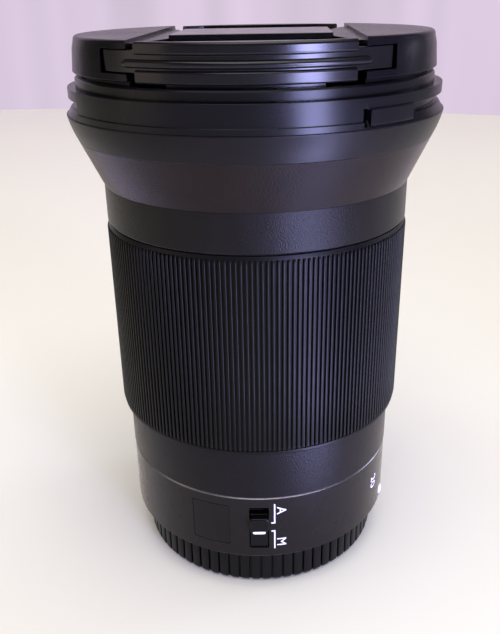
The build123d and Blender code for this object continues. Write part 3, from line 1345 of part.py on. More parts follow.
# Focus carriage: a lens tube with a bush on one rod, a fork on the other and an arm for the nut
carriage_z = cell_top_z + CARRIAGE_RISE
carriage_top_z = carriage_z + CARRIAGE_LENGTH
arm_z = carriage_z + ARM_RISE
focus_rear_top_z = carriage_z + FOCUS_REAR_TOP
focus_doublet_top_z = carriage_z + FOCUS_DOUBLET_TOP
focus_front_top_z = carriage_top_z - CARRIAGE_LIP
with BuildPart() as focus_carriage:
    with BuildSketch(Plane.XY.offset(carriage_z)):
        Circle(carriage_radius)
    extrude(amount=CARRIAGE_LENGTH)
    with BuildSketch(Plane.XY.offset(arm_z)):
        SlotOverall(2 * ROD_REACH + ARM_WIDTH, ARM_WIDTH)
        with Locations((0, motor_reach / 2)):
            SlotOverall(motor_reach + ARM_WIDTH, ARM_WIDTH, rotation=90)
    extrude(amount=ARM_LENGTH)
    with BuildSketch(Plane.XY.offset(arm_z)):
        with Locations((ROD_REACH, 0), (-ROD_REACH, 0)):
            Circle(ROD_RADIUS + RUNNING_FIT)
        with Locations((-ROD_REACH - ARM_WIDTH / 2, 0)):
            Rectangle(ARM_WIDTH, 2 * (ROD_RADIUS + RUNNING_FIT))
        with Locations((0, motor_reach)):
            Circle(NUT_RADIUS + SLIP_FIT)
    extrude(amount=ARM_LENGTH, mode=Mode.SUBTRACT)
    with BuildSketch(Plane.XZ):
        with BuildLine():
            Polyline(
                (0, carriage_z),
                (FOCUS_REAR_RADIUS + SLIP_FIT, carriage_z),
                (FOCUS_REAR_RADIUS + SLIP_FIT, focus_rear_top_z),
                (focus_doublet_radius + SLIP_FIT, focus_rear_top_z),
                (focus_doublet_radius + SLIP_FIT, focus_doublet_top_z),
                (focus_front_radius + SLIP_FIT, focus_doublet_top_z),
                (focus_front_radius + SLIP_FIT, focus_front_top_z),
                (focus_front_radius - CARRIAGE_LIP, focus_front_top_z),
                (focus_front_radius - CARRIAGE_LIP, carriage_top_z),
                (0, carriage_top_z),
                close=True,
            )
        make_face()
    revolve(axis=Axis.Z, mode=Mode.SUBTRACT)
focus_carriage.part.label = "focus_carriage"
export_step(focus_carriage.part, "parts/focus_carriage.step")

with BuildPart() as lead_nut:
    with BuildSketch(Plane.XY.offset(arm_z + ARM_LENGTH - NUT_LENGTH)):
        with Locations((0, motor_reach)):
            Circle(NUT_RADIUS)
    extrude(amount=NUT_LENGTH)
    with BuildSketch(Plane.XY.offset(arm_z + ARM_LENGTH)):
        with Locations((0, motor_reach)):
            Circle(NUT_FLANGE_RADIUS)
    extrude(amount=NUT_FLANGE_THICKNESS)
    with BuildSketch(Plane.XY.offset(arm_z)):
        with Locations((0, motor_reach)):
            Circle(lead_screw_bore)
    extrude(amount=ARM_LENGTH + NUT_FLANGE_THICKNESS, mode=Mode.SUBTRACT)
lead_nut.part.label = "lead_nut"
export_step(lead_nut.part, "parts/lead_nut.step")

with BuildPart() as focus_rear_element:
    with BuildSketch(Plane.XZ):
        add(glass_section(FOCUS_REAR_RADIUS, focus_rear_top_z - FOCUS_REAR_EDGE,
                          FOCUS_REAR_EDGE, FOCUS_REAR_SAGS))
    revolve(axis=Axis.Z)
focus_rear_element.part.label = "focus_rear_element"
export_step(focus_rear_element.part, "parts/focus_rear_element.step")

with BuildPart() as focus_doublet:
    with BuildSketch(Plane.XZ):
        add(glass_section(focus_doublet_radius, focus_doublet_top_z - FOCUS_DOUBLET_EDGE,
                          FOCUS_DOUBLET_EDGE, FOCUS_DOUBLET_SAGS))
    revolve(axis=Axis.Z)
focus_doublet.part.label = "focus_doublet"
export_step(focus_doublet.part, "parts/focus_doublet.step")

with BuildPart() as focus_front_element:
    with BuildSketch(Plane.XZ):
        add(glass_section(focus_front_radius, focus_front_top_z - FOCUS_FRONT_EDGE,
                          FOCUS_FRONT_EDGE, FOCUS_FRONT_SAGS))
    revolve(axis=Axis.Z)
focus_front_element.part.label = "focus_front_element"
export_step(focus_front_element.part, "parts/focus_front_element.step")

# Front cap body: two lobes beside a channel, pockets for the latches, and a skirt in the filter ring
cap_plane = Plane.XY.rotated((0, 0, CAP_TURN))
cap_floor_z = front_cap_z + CAP_FLOOR
pedestal_top_z = cap_floor_z + PEDESTAL_HEIGHT
cap_reach = cap_foot_radius + OVERLAP
cap_side_top_z = front_cap_z + CAP_SIDE_LENGTH
with BuildPart() as cap_body:
    with BuildSketch(Plane.XZ):
        with BuildLine():
            Polyline(
                (0, front_cap_top_z),
                (0, front_cap_z),
                (cap_foot_radius - EDGE_CHAMFER, front_cap_z),
                (cap_foot_radius, front_cap_z + EDGE_CHAMFER),
                (cap_side_radius, cap_side_top_z),
                (cap_top_radius + CAP_EDGE_LENGTH / 2, front_cap_top_z - CAP_EDGE_LENGTH),
            )
            ThreePointArc(
                (cap_top_radius + CAP_EDGE_LENGTH / 2, front_cap_top_z - CAP_EDGE_LENGTH),
                (cap_top_radius + CAP_EDGE_LENGTH / 5, front_cap_top_z - CAP_EDGE_LENGTH / 4),
                (cap_top_radius - CAP_EDGE_LENGTH / 2, front_cap_top_z),
            )
            Line((cap_top_radius - CAP_EDGE_LENGTH / 2, front_cap_top_z), (0, front_cap_top_z))
        make_face()
    revolve(axis=Axis.Z)
    with BuildSketch(cap_plane.offset(front_cap_top_z - SHOULDER_DROP)):
        Rectangle(2 * CHANNEL_HALF_WIDTH, 2 * cap_reach)
    extrude(amount=SHOULDER_DROP, mode=Mode.SUBTRACT)
    with BuildSketch(cap_plane.offset(cap_floor_z)):
        with BuildLine():
            channel_edge = Polyline(
                (0, cap_reach),
                (CHANNEL_HALF_WIDTH, cap_reach),
                (CHANNEL_HALF_WIDTH, RECESS_NEAR + RECESS_CORNER),
                (RECESS_MIDDLE_WIDTH, RECESS_NEAR),
                (RECESS_HALF_WIDTH, RECESS_DEPTH),
                (RECESS_HALF_WIDTH, -RECESS_DEPTH),
                (RECESS_MIDDLE_WIDTH, -RECESS_NEAR),
                (CHANNEL_HALF_WIDTH, -RECESS_NEAR - RECESS_CORNER),
                (CHANNEL_HALF_WIDTH, -cap_reach),
                (0, -cap_reach),
            )
            mirror(channel_edge, about=Plane.YZ)
        make_face()
    extrude(amount=FRONT_CAP_LENGTH, mode=Mode.SUBTRACT)
    for side in (-1, 1):
        with BuildSketch(cap_plane.offset(front_cap_z)):
            with Locations((0, side * cap_reach / 2)):
                Rectangle(2 * CHANNEL_HALF_WIDTH, cap_reach)
            with Locations((0, -side * latch_stroke)):
                Circle(latch_radius - LATCH_WALL, mode=Mode.SUBTRACT)
            with Locations((0, side * (latch_inner - latch_stroke + cap_reach) / 2)):
                Rectangle(2 * CHANNEL_HALF_WIDTH, cap_reach - latch_inner + latch_stroke)
        extrude(amount=CAP_FLOOR, mode=Mode.SUBTRACT)
        with BuildSketch(cap_plane.offset(cap_floor_z)):
            with Locations((0, side * (pocket_inner + cap_reach) / 2)):
                Rectangle(2 * pocket_reach, cap_reach - pocket_inner)
        extrude(amount=POCKET_HEIGHT, mode=Mode.SUBTRACT)
    with BuildSketch(cap_plane.offset(cap_floor_z)):
        Rectangle(2 * RECESS_HALF_WIDTH, 2 * PEDESTAL_HALF_DEPTH)
    extrude(amount=PEDESTAL_HEIGHT)
    with BuildSketch(cap_plane.offset(front_cap_z - SKIRT_LENGTH)):
        Circle(skirt_radius)
        Circle(skirt_radius - SKIRT_WALL, mode=Mode.SUBTRACT)
        Rectangle(2 * CHANNEL_HALF_WIDTH, 2 * cap_reach, mode=Mode.SUBTRACT)
    extrude(amount=SKIRT_LENGTH)
cap_body.part.label = "cap_body"
export_step(cap_body.part, "parts/cap_body.step")

# Bare plate on the cap's pedestal
with BuildPart() as cap_plate:
    with BuildSketch(cap_plane.offset(pedestal_top_z)):
        Rectangle(2 * (RECESS_HALF_WIDTH - PLATE_GAP), 2 * RECESS_DEPTH)
    extrude(amount=PLATE_THICKNESS)
cap_plate.part.label = "cap_plate"
export_step(cap_plate.part, "parts/cap_plate.step")

# Latches: a grip wall in the cap's side, tongues in the pockets, a leg in the thread, and a rail
latch_z = front_cap_z - LATCH_DROP
latch_top_z = front_cap_top_z - LATCH_TOP_DROP
latch_height = latch_top_z - latch_z
latch_rib_z = latch_z + RIB_RISE
tongue_z = cap_floor_z + TONGUE_GAP
tongue_height = POCKET_HEIGHT - 2 * TONGUE_GAP
rail_z = cap_floor_z + RAIL_GAP
for latch_name, latch_turn in (("near_latch", 0), ("far_latch", 180)):
    latch_plane = Plane.XY.rotated((0, 0, CAP_TURN + latch_turn))
    with BuildPart() as latch:
        with BuildSketch(latch_plane.offset(latch_z)):
            Circle(latch_radius)
            Circle(latch_radius - LATCH_WALL, mode=Mode.SUBTRACT)
            with Locations((0, -latch_radius / 2)):
                Rectangle(2 * LATCH_HALF_WIDTH, latch_radius, mode=Mode.INTERSECT)
        extrude(amount=latch_height)
        with BuildSketch(latch_plane.offset(latch_z)):
            Circle(latch_radius)
            with Locations((0, -(latch_radius + latch_inner) / 2)):
                Rectangle(2 * LATCH_GRIP_HALF_WIDTH, latch_radius - latch_inner, mode=Mode.INTERSECT)
        extrude(amount=latch_height)
        for groove_z, groove_top_z in ((latch_z + LOWER_BAND_LENGTH, latch_rib_z),
                                       (latch_rib_z + RIB_LENGTH, latch_z + UPPER_BAND_RISE)):
            with BuildSketch(latch_plane.offset(groove_z)):
                Circle(latch_radius + RIB_PROUD)
                Circle(latch_radius - LATCH_GROOVE_DEPTH, mode=Mode.SUBTRACT)
            extrude(amount=groove_top_z - groove_z, mode=Mode.SUBTRACT)
        with BuildSketch(latch_plane.offset(tongue_z)):
            Circle(latch_radius)
            Circle(latch_radius - TONGUE_WALL, mode=Mode.SUBTRACT)
            with Locations((0, -latch_radius / 2)):
                Rectangle(2 * TONGUE_HALF_WIDTH, latch_radius, mode=Mode.INTERSECT)
            Rectangle(2 * (LATCH_HALF_WIDTH - OVERLAP), 2 * latch_radius, mode=Mode.SUBTRACT)
        extrude(amount=tongue_height)
        with BuildSketch(latch_plane.offset(latch_rib_z)):
            Circle(latch_radius + RIB_PROUD)
            Circle(latch_radius - OVERLAP, mode=Mode.SUBTRACT)
            with Locations((0, -latch_radius / 2 - OVERLAP)):
                Rectangle(2 * RIB_HALF_WIDTH, latch_radius, mode=Mode.INTERSECT)
        extrude(amount=RIB_LENGTH)
        with BuildSketch(latch_plane.offset(latch_z - LEG_LENGTH)):
            Circle(leg_radius)
            Circle(leg_radius - LEG_WALL, mode=Mode.SUBTRACT)
            with Locations((0, -leg_radius / 2)):
                Rectangle(2 * LEG_HALF_WIDTH, leg_radius, mode=Mode.INTERSECT)
        extrude(amount=LEG_LENGTH)
        with BuildSketch(latch_plane.offset(rail_z)):
            with Locations((0, -(RAIL_END + latch_inner + OVERLAP) / 2)):
                Rectangle(2 * RAIL_HALF_WIDTH, latch_inner + OVERLAP - RAIL_END)
        extrude(amount=RAIL_THICKNESS)
    latch.part.label = latch_name
    export_step(latch.part, f"parts/{latch_name}.step")

# Two springs behind each latch, between its rail and the pedestal, drawn as plain tubes
spring_z = rail_z + RAIL_THICKNESS / 2
spring_length = RAIL_END - PEDESTAL_HALF_DEPTH - 2 * SPRING_END_GAP
for spring_name, spring_turn in (("near_springs", 0), ("far_springs", 180)):
    spring_angle = math.radians(CAP_TURN + spring_turn)
    across = (math.cos(spring_angle), math.sin(spring_angle), 0)
    outward = (math.sin(spring_angle), -math.cos(spring_angle), 0)
    spring_reach = PEDESTAL_HALF_DEPTH + SPRING_END_GAP
    spring_foot = (outward[0] * spring_reach, outward[1] * spring_reach, spring_z)
    with BuildPart() as springs:
        with BuildSketch(Plane(origin=spring_foot, x_dir=across, z_dir=outward)):
            with Locations((-SPRING_REACH, 0), (SPRING_REACH, 0)):
                Circle(SPRING_RADIUS)
                Circle(SPRING_RADIUS - SPRING_WIRE, mode=Mode.SUBTRACT)
        extrude(amount=spring_length)
    springs.part.label = spring_name
    export_step(springs.part, f"parts/{spring_name}.step")
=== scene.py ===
import math

import bmesh
import bpy
from mathutils import Matrix, Vector


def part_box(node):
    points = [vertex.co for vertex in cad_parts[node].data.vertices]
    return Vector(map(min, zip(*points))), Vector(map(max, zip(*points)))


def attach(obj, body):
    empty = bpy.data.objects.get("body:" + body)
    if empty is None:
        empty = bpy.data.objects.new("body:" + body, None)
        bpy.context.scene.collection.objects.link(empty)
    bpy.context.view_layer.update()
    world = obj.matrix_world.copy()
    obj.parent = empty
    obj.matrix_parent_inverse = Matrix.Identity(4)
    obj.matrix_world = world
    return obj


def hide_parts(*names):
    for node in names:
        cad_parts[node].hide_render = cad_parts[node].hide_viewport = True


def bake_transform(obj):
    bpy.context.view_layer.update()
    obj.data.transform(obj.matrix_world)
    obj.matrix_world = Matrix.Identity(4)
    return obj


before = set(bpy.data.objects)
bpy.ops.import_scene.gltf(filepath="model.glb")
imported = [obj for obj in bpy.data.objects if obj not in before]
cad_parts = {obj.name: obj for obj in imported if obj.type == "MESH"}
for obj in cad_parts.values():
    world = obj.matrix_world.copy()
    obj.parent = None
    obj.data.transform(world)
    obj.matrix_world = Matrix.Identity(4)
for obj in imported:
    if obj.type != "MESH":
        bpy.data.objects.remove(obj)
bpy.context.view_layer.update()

bl_info = {
    "name": "Wide-angle prime lens",
    "version": (1, 0, 0),
    "blender": (4, 5, 0),
    "location": "View3D > Sidebar > Lens",
    "description": "Dresses the packed lens with its ribs, seams, marks and finishes",
    "category": "Object",
}

# The frame is in metres, and this script writes the lens in millimetres
MM = 0.001

# Steps round a turned piece, the turn in an outline up to which a corner belongs to a curve and stays as it
# is, and the turn between two faces from which their edge is sharp
TURN_STEPS = 288
CURVE_TURN = math.radians(18)
SHARP_TURN = math.radians(42)

# Turn of the front cap on the lens, in degrees
CAP_TURN = -2.7

# Bore of the outer sleeves over the chassis, in millimetres
SLEEVE_BORE = 31.85

# Depth of the badge plate's recess, and how deep the paint of a mark goes under the surface, in millimetres
BADGE_DEPTH = 0.3
PAINT_ROOT = 0.02

# Sockets of a Mix node's two colours and of its result
MIX_DARK, MIX_LIGHT, MIX_RESULT = 6, 7, 2

# Tint of the pale bloom that a black coating shows where it turns away from the eye
BLOOM_TINT = "#f2e4da"


def span(node):
    """Foot, top and radius of a turned node of the frame, in millimetres."""
    low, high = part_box(node)
    return low[2] / MM, high[2] / MM, (high[0] - low[0]) / 2 / MM


def linear(code):
    """The linear colour of an sRGB hex value."""
    shades = [int(code[place:place + 2], 16) / 255 for place in (1, 3, 5)]
    return tuple(s / 12.92 if s <= 0.04045 else ((s + 0.055) / 1.055) ** 2.4 for s in shades)


def colour_property(name, description, code):
    """A colour that a user can change, from its sRGB hex value."""
    return bpy.props.FloatVectorProperty(
        name=name, description=description, subtype="COLOR", size=3, min=0, max=1, default=linear(code))


def length_property(name, description, millimetres):
    """A length that a user can change, from its size in millimetres."""
    return bpy.props.FloatProperty(
        name=name, description=description, unit="LENGTH", subtype="DISTANCE", min=0,
        precision=5, default=millimetres * MM)


def angle_property(name, description, degrees):
    """An angle that a user can change, from its size in degrees."""
    return bpy.props.FloatProperty(
        name=name, description=description, unit="ROTATION", subtype="ANGLE", default=math.radians(degrees))


def level_property(name, description, level):
    """A strength, or a power in watts, that a user can change."""
    return bpy.props.FloatProperty(name=name, description=description, min=0, default=level)


class LensSizes(bpy.types.PropertyGroup):
    """Sizes of the details that the frame doesn't hold."""

    edge_round: length_property("Edge round", "Round on the edges of turned and moulded pieces", 0.14)
    hood_round: length_property("Hood ring round", "Round on the edges of the hood ring", 0.24)
    fine_round: length_property("Fine round", "Round on the edges of the switch and the cap's latches", 0.1)
    grip_ribs: bpy.props.IntProperty(
        name="Grip ribs", description="Ribs round the control ring", default=204, min=24, max=600)
    grip_rib_depth: length_property("Grip rib depth", "How far a grip rib stands out of its groove", 0.6)
    grip_rib_width: length_property("Grip rib width", "Width of a grip rib at its foot", 0.56)
    cap_ribs: bpy.props.IntProperty(
        name="Rear cap ribs", description="Ribs round the rear cap", default=72, min=12, max=200)
    cap_rib_depth: length_property("Rear cap rib depth", "How far a rib of the rear cap stands out", 0.7)
    cap_groove_width: length_property("Rear cap groove", "Width of the groove between two ribs", 0.5)
    seam_edge: length_property("Seam edge", "Width of the rear barrel's cut upper edge", 0.3)
    mark_stroke: length_property("Mark stroke", "Line width of the painted marks", 0.32)
    mark_film: length_property("Mark film", "Thickness of the paint of a mark", 0.02)
    letter_height: length_property("Letter height", "Height of the letters beside the switch", 2.3)
    number_height: length_property("Number height", "Height of the number on the side", 2.7)
    dot_radius: length_property("Dot radius", "Radius of the mounting mark", 1.35)


class LensFinishes(bpy.types.PropertyGroup):
    """Colours of the lens, each from its sRGB hex value."""

    barrel: colour_property("Barrel", "Satin black of the rear barrel", "#171414")
    stipple: colour_property("Stippled lacquer", "Matt black of the front barrel", "#110f0e")
    # Painted light: the cone wears the neck's lacquer, coloured lighter and browner here for the light it
    # takes from the pale table
    cone: colour_property("Cone", "Matt black of the cone, where the beads are coarser", "#16110d")
    band: colour_property("Plain band", "Black of the band under the control ring", "#121011")
    grip: colour_property("Grip", "Black of the control ring", "#0a0909")
    bayonet: colour_property("Hood ring", "Black of the moulded hood bayonet", "#0a090c")
    cap: colour_property("Caps", "Black of the moulded caps", "#09080b")
    cap_plate: colour_property("Cap plate", "Black of the cap's bare centre plate", "#121015")
    marks: colour_property("Marks", "White of the painted marks", "#f4f2f6")
    seam: colour_property("Seam edge", "Bare metal of the rear barrel's cut edge", "#8e8a92")
    chrome: colour_property("Mount", "Bright metal of the lens mount", "#c9c9c6")
    glass_tint: colour_property("Glass tint", "Tint of the coated glass", "#eef4f2")


class StudioSettings(bpy.types.PropertyGroup):
    """The camera, the table and the light."""

    focal_length: bpy.props.FloatProperty(
        name="Focal length", description="Camera lens in millimetres, on a 36 mm frame",
        default=41.67, min=10, max=200)
    camera_distance: length_property(
        "Camera distance", "From the lens axis to the camera, along the table", 173.5)
    camera_height: length_property("Camera height", "From the table to the camera", 135.9)
    camera_tilt: angle_property("Camera tilt", "How far the camera looks down", 23.8)
    camera_turn: angle_property("Camera turn", "How far the camera looks to the left", 0.65)
    camera_roll: angle_property("Camera roll", "Roll of the camera about its own axis", -1.09)
    table_reach: length_property(
        "Table radius", "Radius of the table top, whose middle is left of the lens and before it", 1430)
    table: colour_property("Table", "Colour of the table", "#f9f8f2")
    curtain: colour_property("Curtain", "Colour of the curtain behind the table", "#dccbe0")
    sky: colour_property("Room", "Colour of the soft light of the room", "#f8f5ea")
    window: colour_property("Window", "Colour of the window light", "#babcff")
    lamp: colour_property("Ceiling light", "Colour of the ceiling light", "#fffcf8")
    fill: colour_property("Warm fill", "Colour of the light from the left", "#ffe6d0")
    side: colour_property("Side window", "Colour of the low window at the right", "#e2e4ff")
    room_level: level_property("Room level", "Strength of the even light of the room", 0.16)
    window_power: level_property("Window power", "Power of the window light in watts", 0.3)
    ceiling_power: level_property("Ceiling power", "Power of the ceiling light in watts", 22.0)
    fill_power: level_property("Fill power", "Power of the warm fill in watts", 1.2)
    side_power: level_property("Side window power", "Power of the low window at the right in watts", 0.01)
    glare_level: level_property("Table glare", "Brightness of the window's glare on the table", 42.0)


def sizes():
    """The sizes that the panel shows."""
    return bpy.context.scene.lens_sizes


def finishes():
    """The colours that the panel shows."""
    return bpy.context.scene.lens_finishes


def studio():
    """The settings of the stage."""
    return bpy.context.scene.lens_studio


# Materials

def add_node(tree, kind, inputs=None, **settings):
    """Adds a node with its settings, and sets or links each named input."""
    added = tree.nodes.new(kind)
    for name, value in settings.items():
        setattr(added, name, value)
    for name, value in (inputs or {}).items():
        if isinstance(value, bpy.types.NodeSocket):
            tree.links.new(value, added.inputs[name])
        else:
            added.inputs[name].default_value = value
    return added


def new_material(name, colour, roughness, **sockets):
    """A material with one surface shader: (material, tree, shader, Object coordinates for its patterns)."""
    material = bpy.data.materials.new(name)
    material.use_nodes = True
    tree = material.node_tree
    shader = tree.nodes["Principled BSDF"]
    shader.inputs["Base Color"].default_value = (*colour, 1)
    shader.inputs["Roughness"].default_value = roughness
    for socket, value in sockets.items():
        shader.inputs[socket.replace("_", " ")].default_value = value
    place = add_node(tree, "ShaderNodeTexCoord").outputs["Object"]
    return material, tree, shader, place


def scale_of(millimetres):
    """Texture scale that gives a pattern this size on Object coordinates."""
    return 1 / (millimetres * MM)


def shade_between(tree, shader, factor, dark, light):
    """Drives the base colour between two colours."""
    mix = add_node(tree, "ShaderNodeMix", {"Factor": factor}, data_type="RGBA")
    mix.inputs[MIX_DARK].default_value = (*dark, 1)
    mix.inputs[MIX_LIGHT].default_value = (*light, 1)
    tree.links.new(mix.outputs[MIX_RESULT], shader.inputs["Base Color"])


def roughness_between(tree, shader, factor, low, high):
    """Drives the roughness between two values."""
    spread = add_node(tree, "ShaderNodeMapRange", {"Value": factor, "To Min": low, "To Max": high})
    tree.links.new(spread.outputs["Result"], shader.inputs["Roughness"])


def raise_pattern(tree, shader, height, depth, strength=1.0):
    """Raises a pattern out of the surface, depth in millimetres."""
    raised = add_node(tree, "ShaderNodeBump",
                      {"Height": height, "Distance": depth * MM, "Strength": strength})
    tree.links.new(raised.outputs["Normal"], shader.inputs["Normal"])


def tinted(colour, factor):
    """A colour made lighter or darker."""
    return tuple(min(1, shade * factor) for shade in colour)


def stippled_lacquer(name, colour, bloom=0.12, grain=0.28, relief=0.045, gloss=0.11, roughness=0.32):
    """Black lacquer sprayed on cast magnesium: the spray dries in beads that break highlights into a fine
    grain, and their tops catch a pale bloom where the surface turns away."""
    material, tree, shader, place = new_material(
        name, colour, roughness, Specular_IOR_Level=gloss, Sheen_Weight=bloom, Sheen_Roughness=0.3)
    shader.inputs["Sheen Tint"].default_value = (*linear(BLOOM_TINT), 1)
    beads = add_node(tree, "ShaderNodeTexVoronoi", {"Vector": place, "Scale": scale_of(grain)})
    clouds = add_node(tree, "ShaderNodeTexNoise", {"Vector": place, "Scale": scale_of(6), "Detail": 3.0})
    shade_between(tree, shader, clouds.outputs["Fac"], tinted(colour, 0.75), tinted(colour, 1.35))
    roughness_between(tree, shader, beads.outputs["Distance"], roughness - 0.06, roughness + 0.12)
    raise_pattern(tree, shader, beads.outputs["Distance"], relief)
    return material


def satin_anodising(name, colour, roughness=0.27):
    """Bead-blasted aluminium anodised black: a smooth satin skin, faintly cloudy, with no grain to see."""
    material, tree, shader, place = new_material(
        name, colour, roughness, Specular_IOR_Level=0.14, Sheen_Weight=0.35, Sheen_Roughness=0.3)
    shader.inputs["Sheen Tint"].default_value = (*linear(BLOOM_TINT), 1)
    # The blasted grain is about 0.05 mm wide and is drawn coarser, to show
    blast = add_node(tree, "ShaderNodeTexNoise", {"Vector": place, "Scale": scale_of(0.15), "Detail": 2.0})
    wear = add_node(tree, "ShaderNodeTexNoise", {"Vector": place, "Scale": scale_of(9), "Detail": 4.0})
    shade_between(tree, shader, wear.outputs["Fac"], tinted(colour, 0.92), tinted(colour, 1.1))
    roughness_between(tree, shader, wear.outputs["Fac"], roughness - 0.02, roughness + 0.03)
    raise_pattern(tree, shader, blast.outputs["Fac"], 0.006, 0.5)
    return material


def machined_ring(name, colour, roughness=0.36):
    """Milled aluminium ribs anodised black: crisp lands with fine cutter lines that run round the ring."""
    material, tree, shader, place = new_material(name, colour, roughness, Specular_IOR_Level=0.12)
    # The cutter's lines lie about 0.1 mm apart and are drawn coarser, to show
    stretched = add_node(tree, "ShaderNodeMapping", {"Vector": place, "Scale": (0.2, 0.2, 1.0)})
    cutter = add_node(tree, "ShaderNodeTexNoise",
                      {"Vector": stretched.outputs["Vector"], "Scale": scale_of(0.3), "Detail": 2.0})
    wear = add_node(tree, "ShaderNodeTexNoise", {"Vector": place, "Scale": scale_of(5), "Detail": 4.0})
    shade_between(tree, shader, wear.outputs["Fac"], tinted(colour, 0.75), tinted(colour, 1.4))
    roughness_between(tree, shader, wear.outputs["Fac"], roughness - 0.06, roughness + 0.1)
    raise_pattern(tree, shader, cutter.outputs["Fac"], 0.008, 0.4)
    return material


def moulded_polycarbonate(name, colour, roughness=0.3, grain=0.25, depth=0.012, gloss=0.15):
    """Glass-filled polycarbonate from a spark-eroded mould: dense black, a soft sheen and a fine grain."""
    material, tree, shader, place = new_material(name, colour, roughness, Specular_IOR_Level=gloss)
    # The sparks leave a grain of about 0.1 mm, drawn coarser to show
    erosion = add_node(tree, "ShaderNodeTexNoise",
                       {"Vector": place, "Scale": scale_of(grain), "Detail": 3.0})
    rubbed = add_node(tree, "ShaderNodeTexNoise", {"Vector": place, "Scale": scale_of(12), "Detail": 5.0})
    shade_between(tree, shader, rubbed.outputs["Fac"], tinted(colour, 0.8), tinted(colour, 1.3))
    roughness_between(tree, shader, rubbed.outputs["Fac"], roughness - 0.06, roughness + 0.1)
    raise_pattern(tree, shader, erosion.outputs["Fac"], depth, 0.6)
    return material


def bare_nameplate(name, colour):
    """Polished black polycarbonate plate, left bare: a darker, glossier patch in its recess."""
    material, tree, shader, place = new_material(name, colour, 0.16, IOR=1.58)
    rubbed = add_node(tree, "ShaderNodeTexNoise",
                      {"Vector": place, "Scale": scale_of(3), "Detail": 5.0})
    roughness_between(tree, shader, rubbed.outputs["Fac"], 0.1, 0.26)
    return material


def cut_edge(name, colour):
    """Edge of the aluminium sleeve, cut after anodising: a hair-line of bare metal in the light."""
    material, tree, shader, place = new_material(name, colour, 0.34, Metallic=1.0)
    nicks = add_node(tree, "ShaderNodeTexNoise",
                     {"Vector": place, "Scale": scale_of(1.2), "Detail": 4.0})
    shade_between(tree, shader, nicks.outputs["Fac"], tinted(colour, 0.55), tinted(colour, 1.2))
    return material


def filled_paint(name, colour):
    """White enamel wiped into shallow engraving: flat and slightly uneven at its edges."""
    material, tree, shader, place = new_material(name, colour, 0.45)
    wiped = add_node(tree, "ShaderNodeTexNoise",
                     {"Vector": place, "Scale": scale_of(0.4), "Detail": 3.0})
    shade_between(tree, shader, wiped.outputs["Fac"], tinted(colour, 0.86), colour)
    raise_pattern(tree, shader, wiped.outputs["Fac"], 0.01, 0.5)
    return material


def plated_brass(name, colour):
    """Brass plated with bright chromium and lapped flat: lines round the axis spread its highlights."""
    material, tree, shader, place = new_material(name, colour, 0.2, Metallic=1.0)
    # A wave repeats every 0.314 of its scale, so the lapped lines are 0.75 mm apart, coarser than in fact
    lines = add_node(tree, "ShaderNodeTexWave", {"Vector": place, "Scale": scale_of(2.4), "Distortion": 0.3},
                     wave_type="RINGS", rings_direction="Z")
    roughness_between(tree, shader, lines.outputs["Fac"], 0.16, 0.3)
    raise_pattern(tree, shader, lines.outputs["Fac"], 0.004, 0.4)
    return material


def cast_metal(name, colour, roughness=0.5, grain=0.8, metallic=1.0):
    """Die-cast or turned light metal with a blasted skin: grey, dull and slightly mottled."""
    material, tree, shader, place = new_material(name, colour, roughness, Metallic=metallic)
    # The grain of a blasted skin is about 0.2 mm and is drawn coarser, to show
    skin = add_node(tree, "ShaderNodeTexNoise", {"Vector": place, "Scale": scale_of(grain), "Detail": 4.0})
    shade_between(tree, shader, skin.outputs["Fac"], tinted(colour, 0.85), tinted(colour, 1.12))
    roughness_between(tree, shader, skin.outputs["Fac"], roughness - 0.08, roughness + 0.1)
    raise_pattern(tree, shader, skin.outputs["Fac"], 0.02, 0.5)
    return material


def ground_steel(name, colour, roughness=0.22):
    """Drawn and ground steel: bright, with fine scratches along the piece."""
    material, tree, shader, place = new_material(name, colour, roughness, Metallic=1.0)
    # The scratches are a few hundredths of a millimetre wide and are drawn coarser, to show
    drawn = add_node(tree, "ShaderNodeMapping", {"Vector": place, "Scale": (1.0, 1.0, 0.06)})
    scratches = add_node(tree, "ShaderNodeTexNoise",
                         {"Vector": drawn.outputs["Vector"], "Scale": scale_of(0.2), "Detail": 2.0})
    roughness_between(tree, shader, scratches.outputs["Fac"], roughness - 0.08, roughness + 0.14)
    raise_pattern(tree, shader, scratches.outputs["Fac"], 0.003, 0.4)
    return material


def laminate_board(name, colour):
    """Glass-epoxy board under solder resist: glossy green with the weave just showing."""
    material, tree, shader, place = new_material(name, colour, 0.3)
    weave = add_node(tree, "ShaderNodeTexChecker", {"Vector": place, "Scale": scale_of(0.5)})
    shade_between(tree, shader, weave.outputs["Fac"], colour, tinted(colour, 1.25))
    raise_pattern(tree, shader, weave.outputs["Fac"], 0.006, 0.3)
    return material


def moulded_rubber(name, colour):
    """Nitrile rubber from a matt mould: soft black that scatters light, with dust in its pores."""
    material, tree, shader, place = new_material(name, colour, 0.72, Specular_IOR_Level=0.35)
    # The pores are about 0.1 mm wide and are drawn coarser, to show
    pores = add_node(tree, "ShaderNodeTexNoise",
                     {"Vector": place, "Scale": scale_of(0.3), "Detail": 4.0})
    shade_between(tree, shader, pores.outputs["Fac"], tinted(colour, 0.8), tinted(colour, 1.4))
    raise_pattern(tree, shader, pores.outputs["Fac"], 0.02, 0.6)
    return material


def coated_optical_glass(name, colour):
    """Polished crown glass with an anti-reflection coating: clear, with a faint green and violet bloom."""
    material, tree, shader, place = new_material(
        name, colour, 0.02, IOR=1.52, Transmission_Weight=1.0, Coat_Weight=0.4, Coat_Roughness=0.02,
        Specular_IOR_Level=0.3)
    shader.inputs["Coat Tint"].default_value = (*linear("#b8a8ff"), 1)
    dust = add_node(tree, "ShaderNodeTexNoise", {"Vector": place, "Scale": scale_of(7), "Detail": 5.0})
    roughness_between(tree, shader, dust.outputs["Fac"], 0.0, 0.04)
    return material


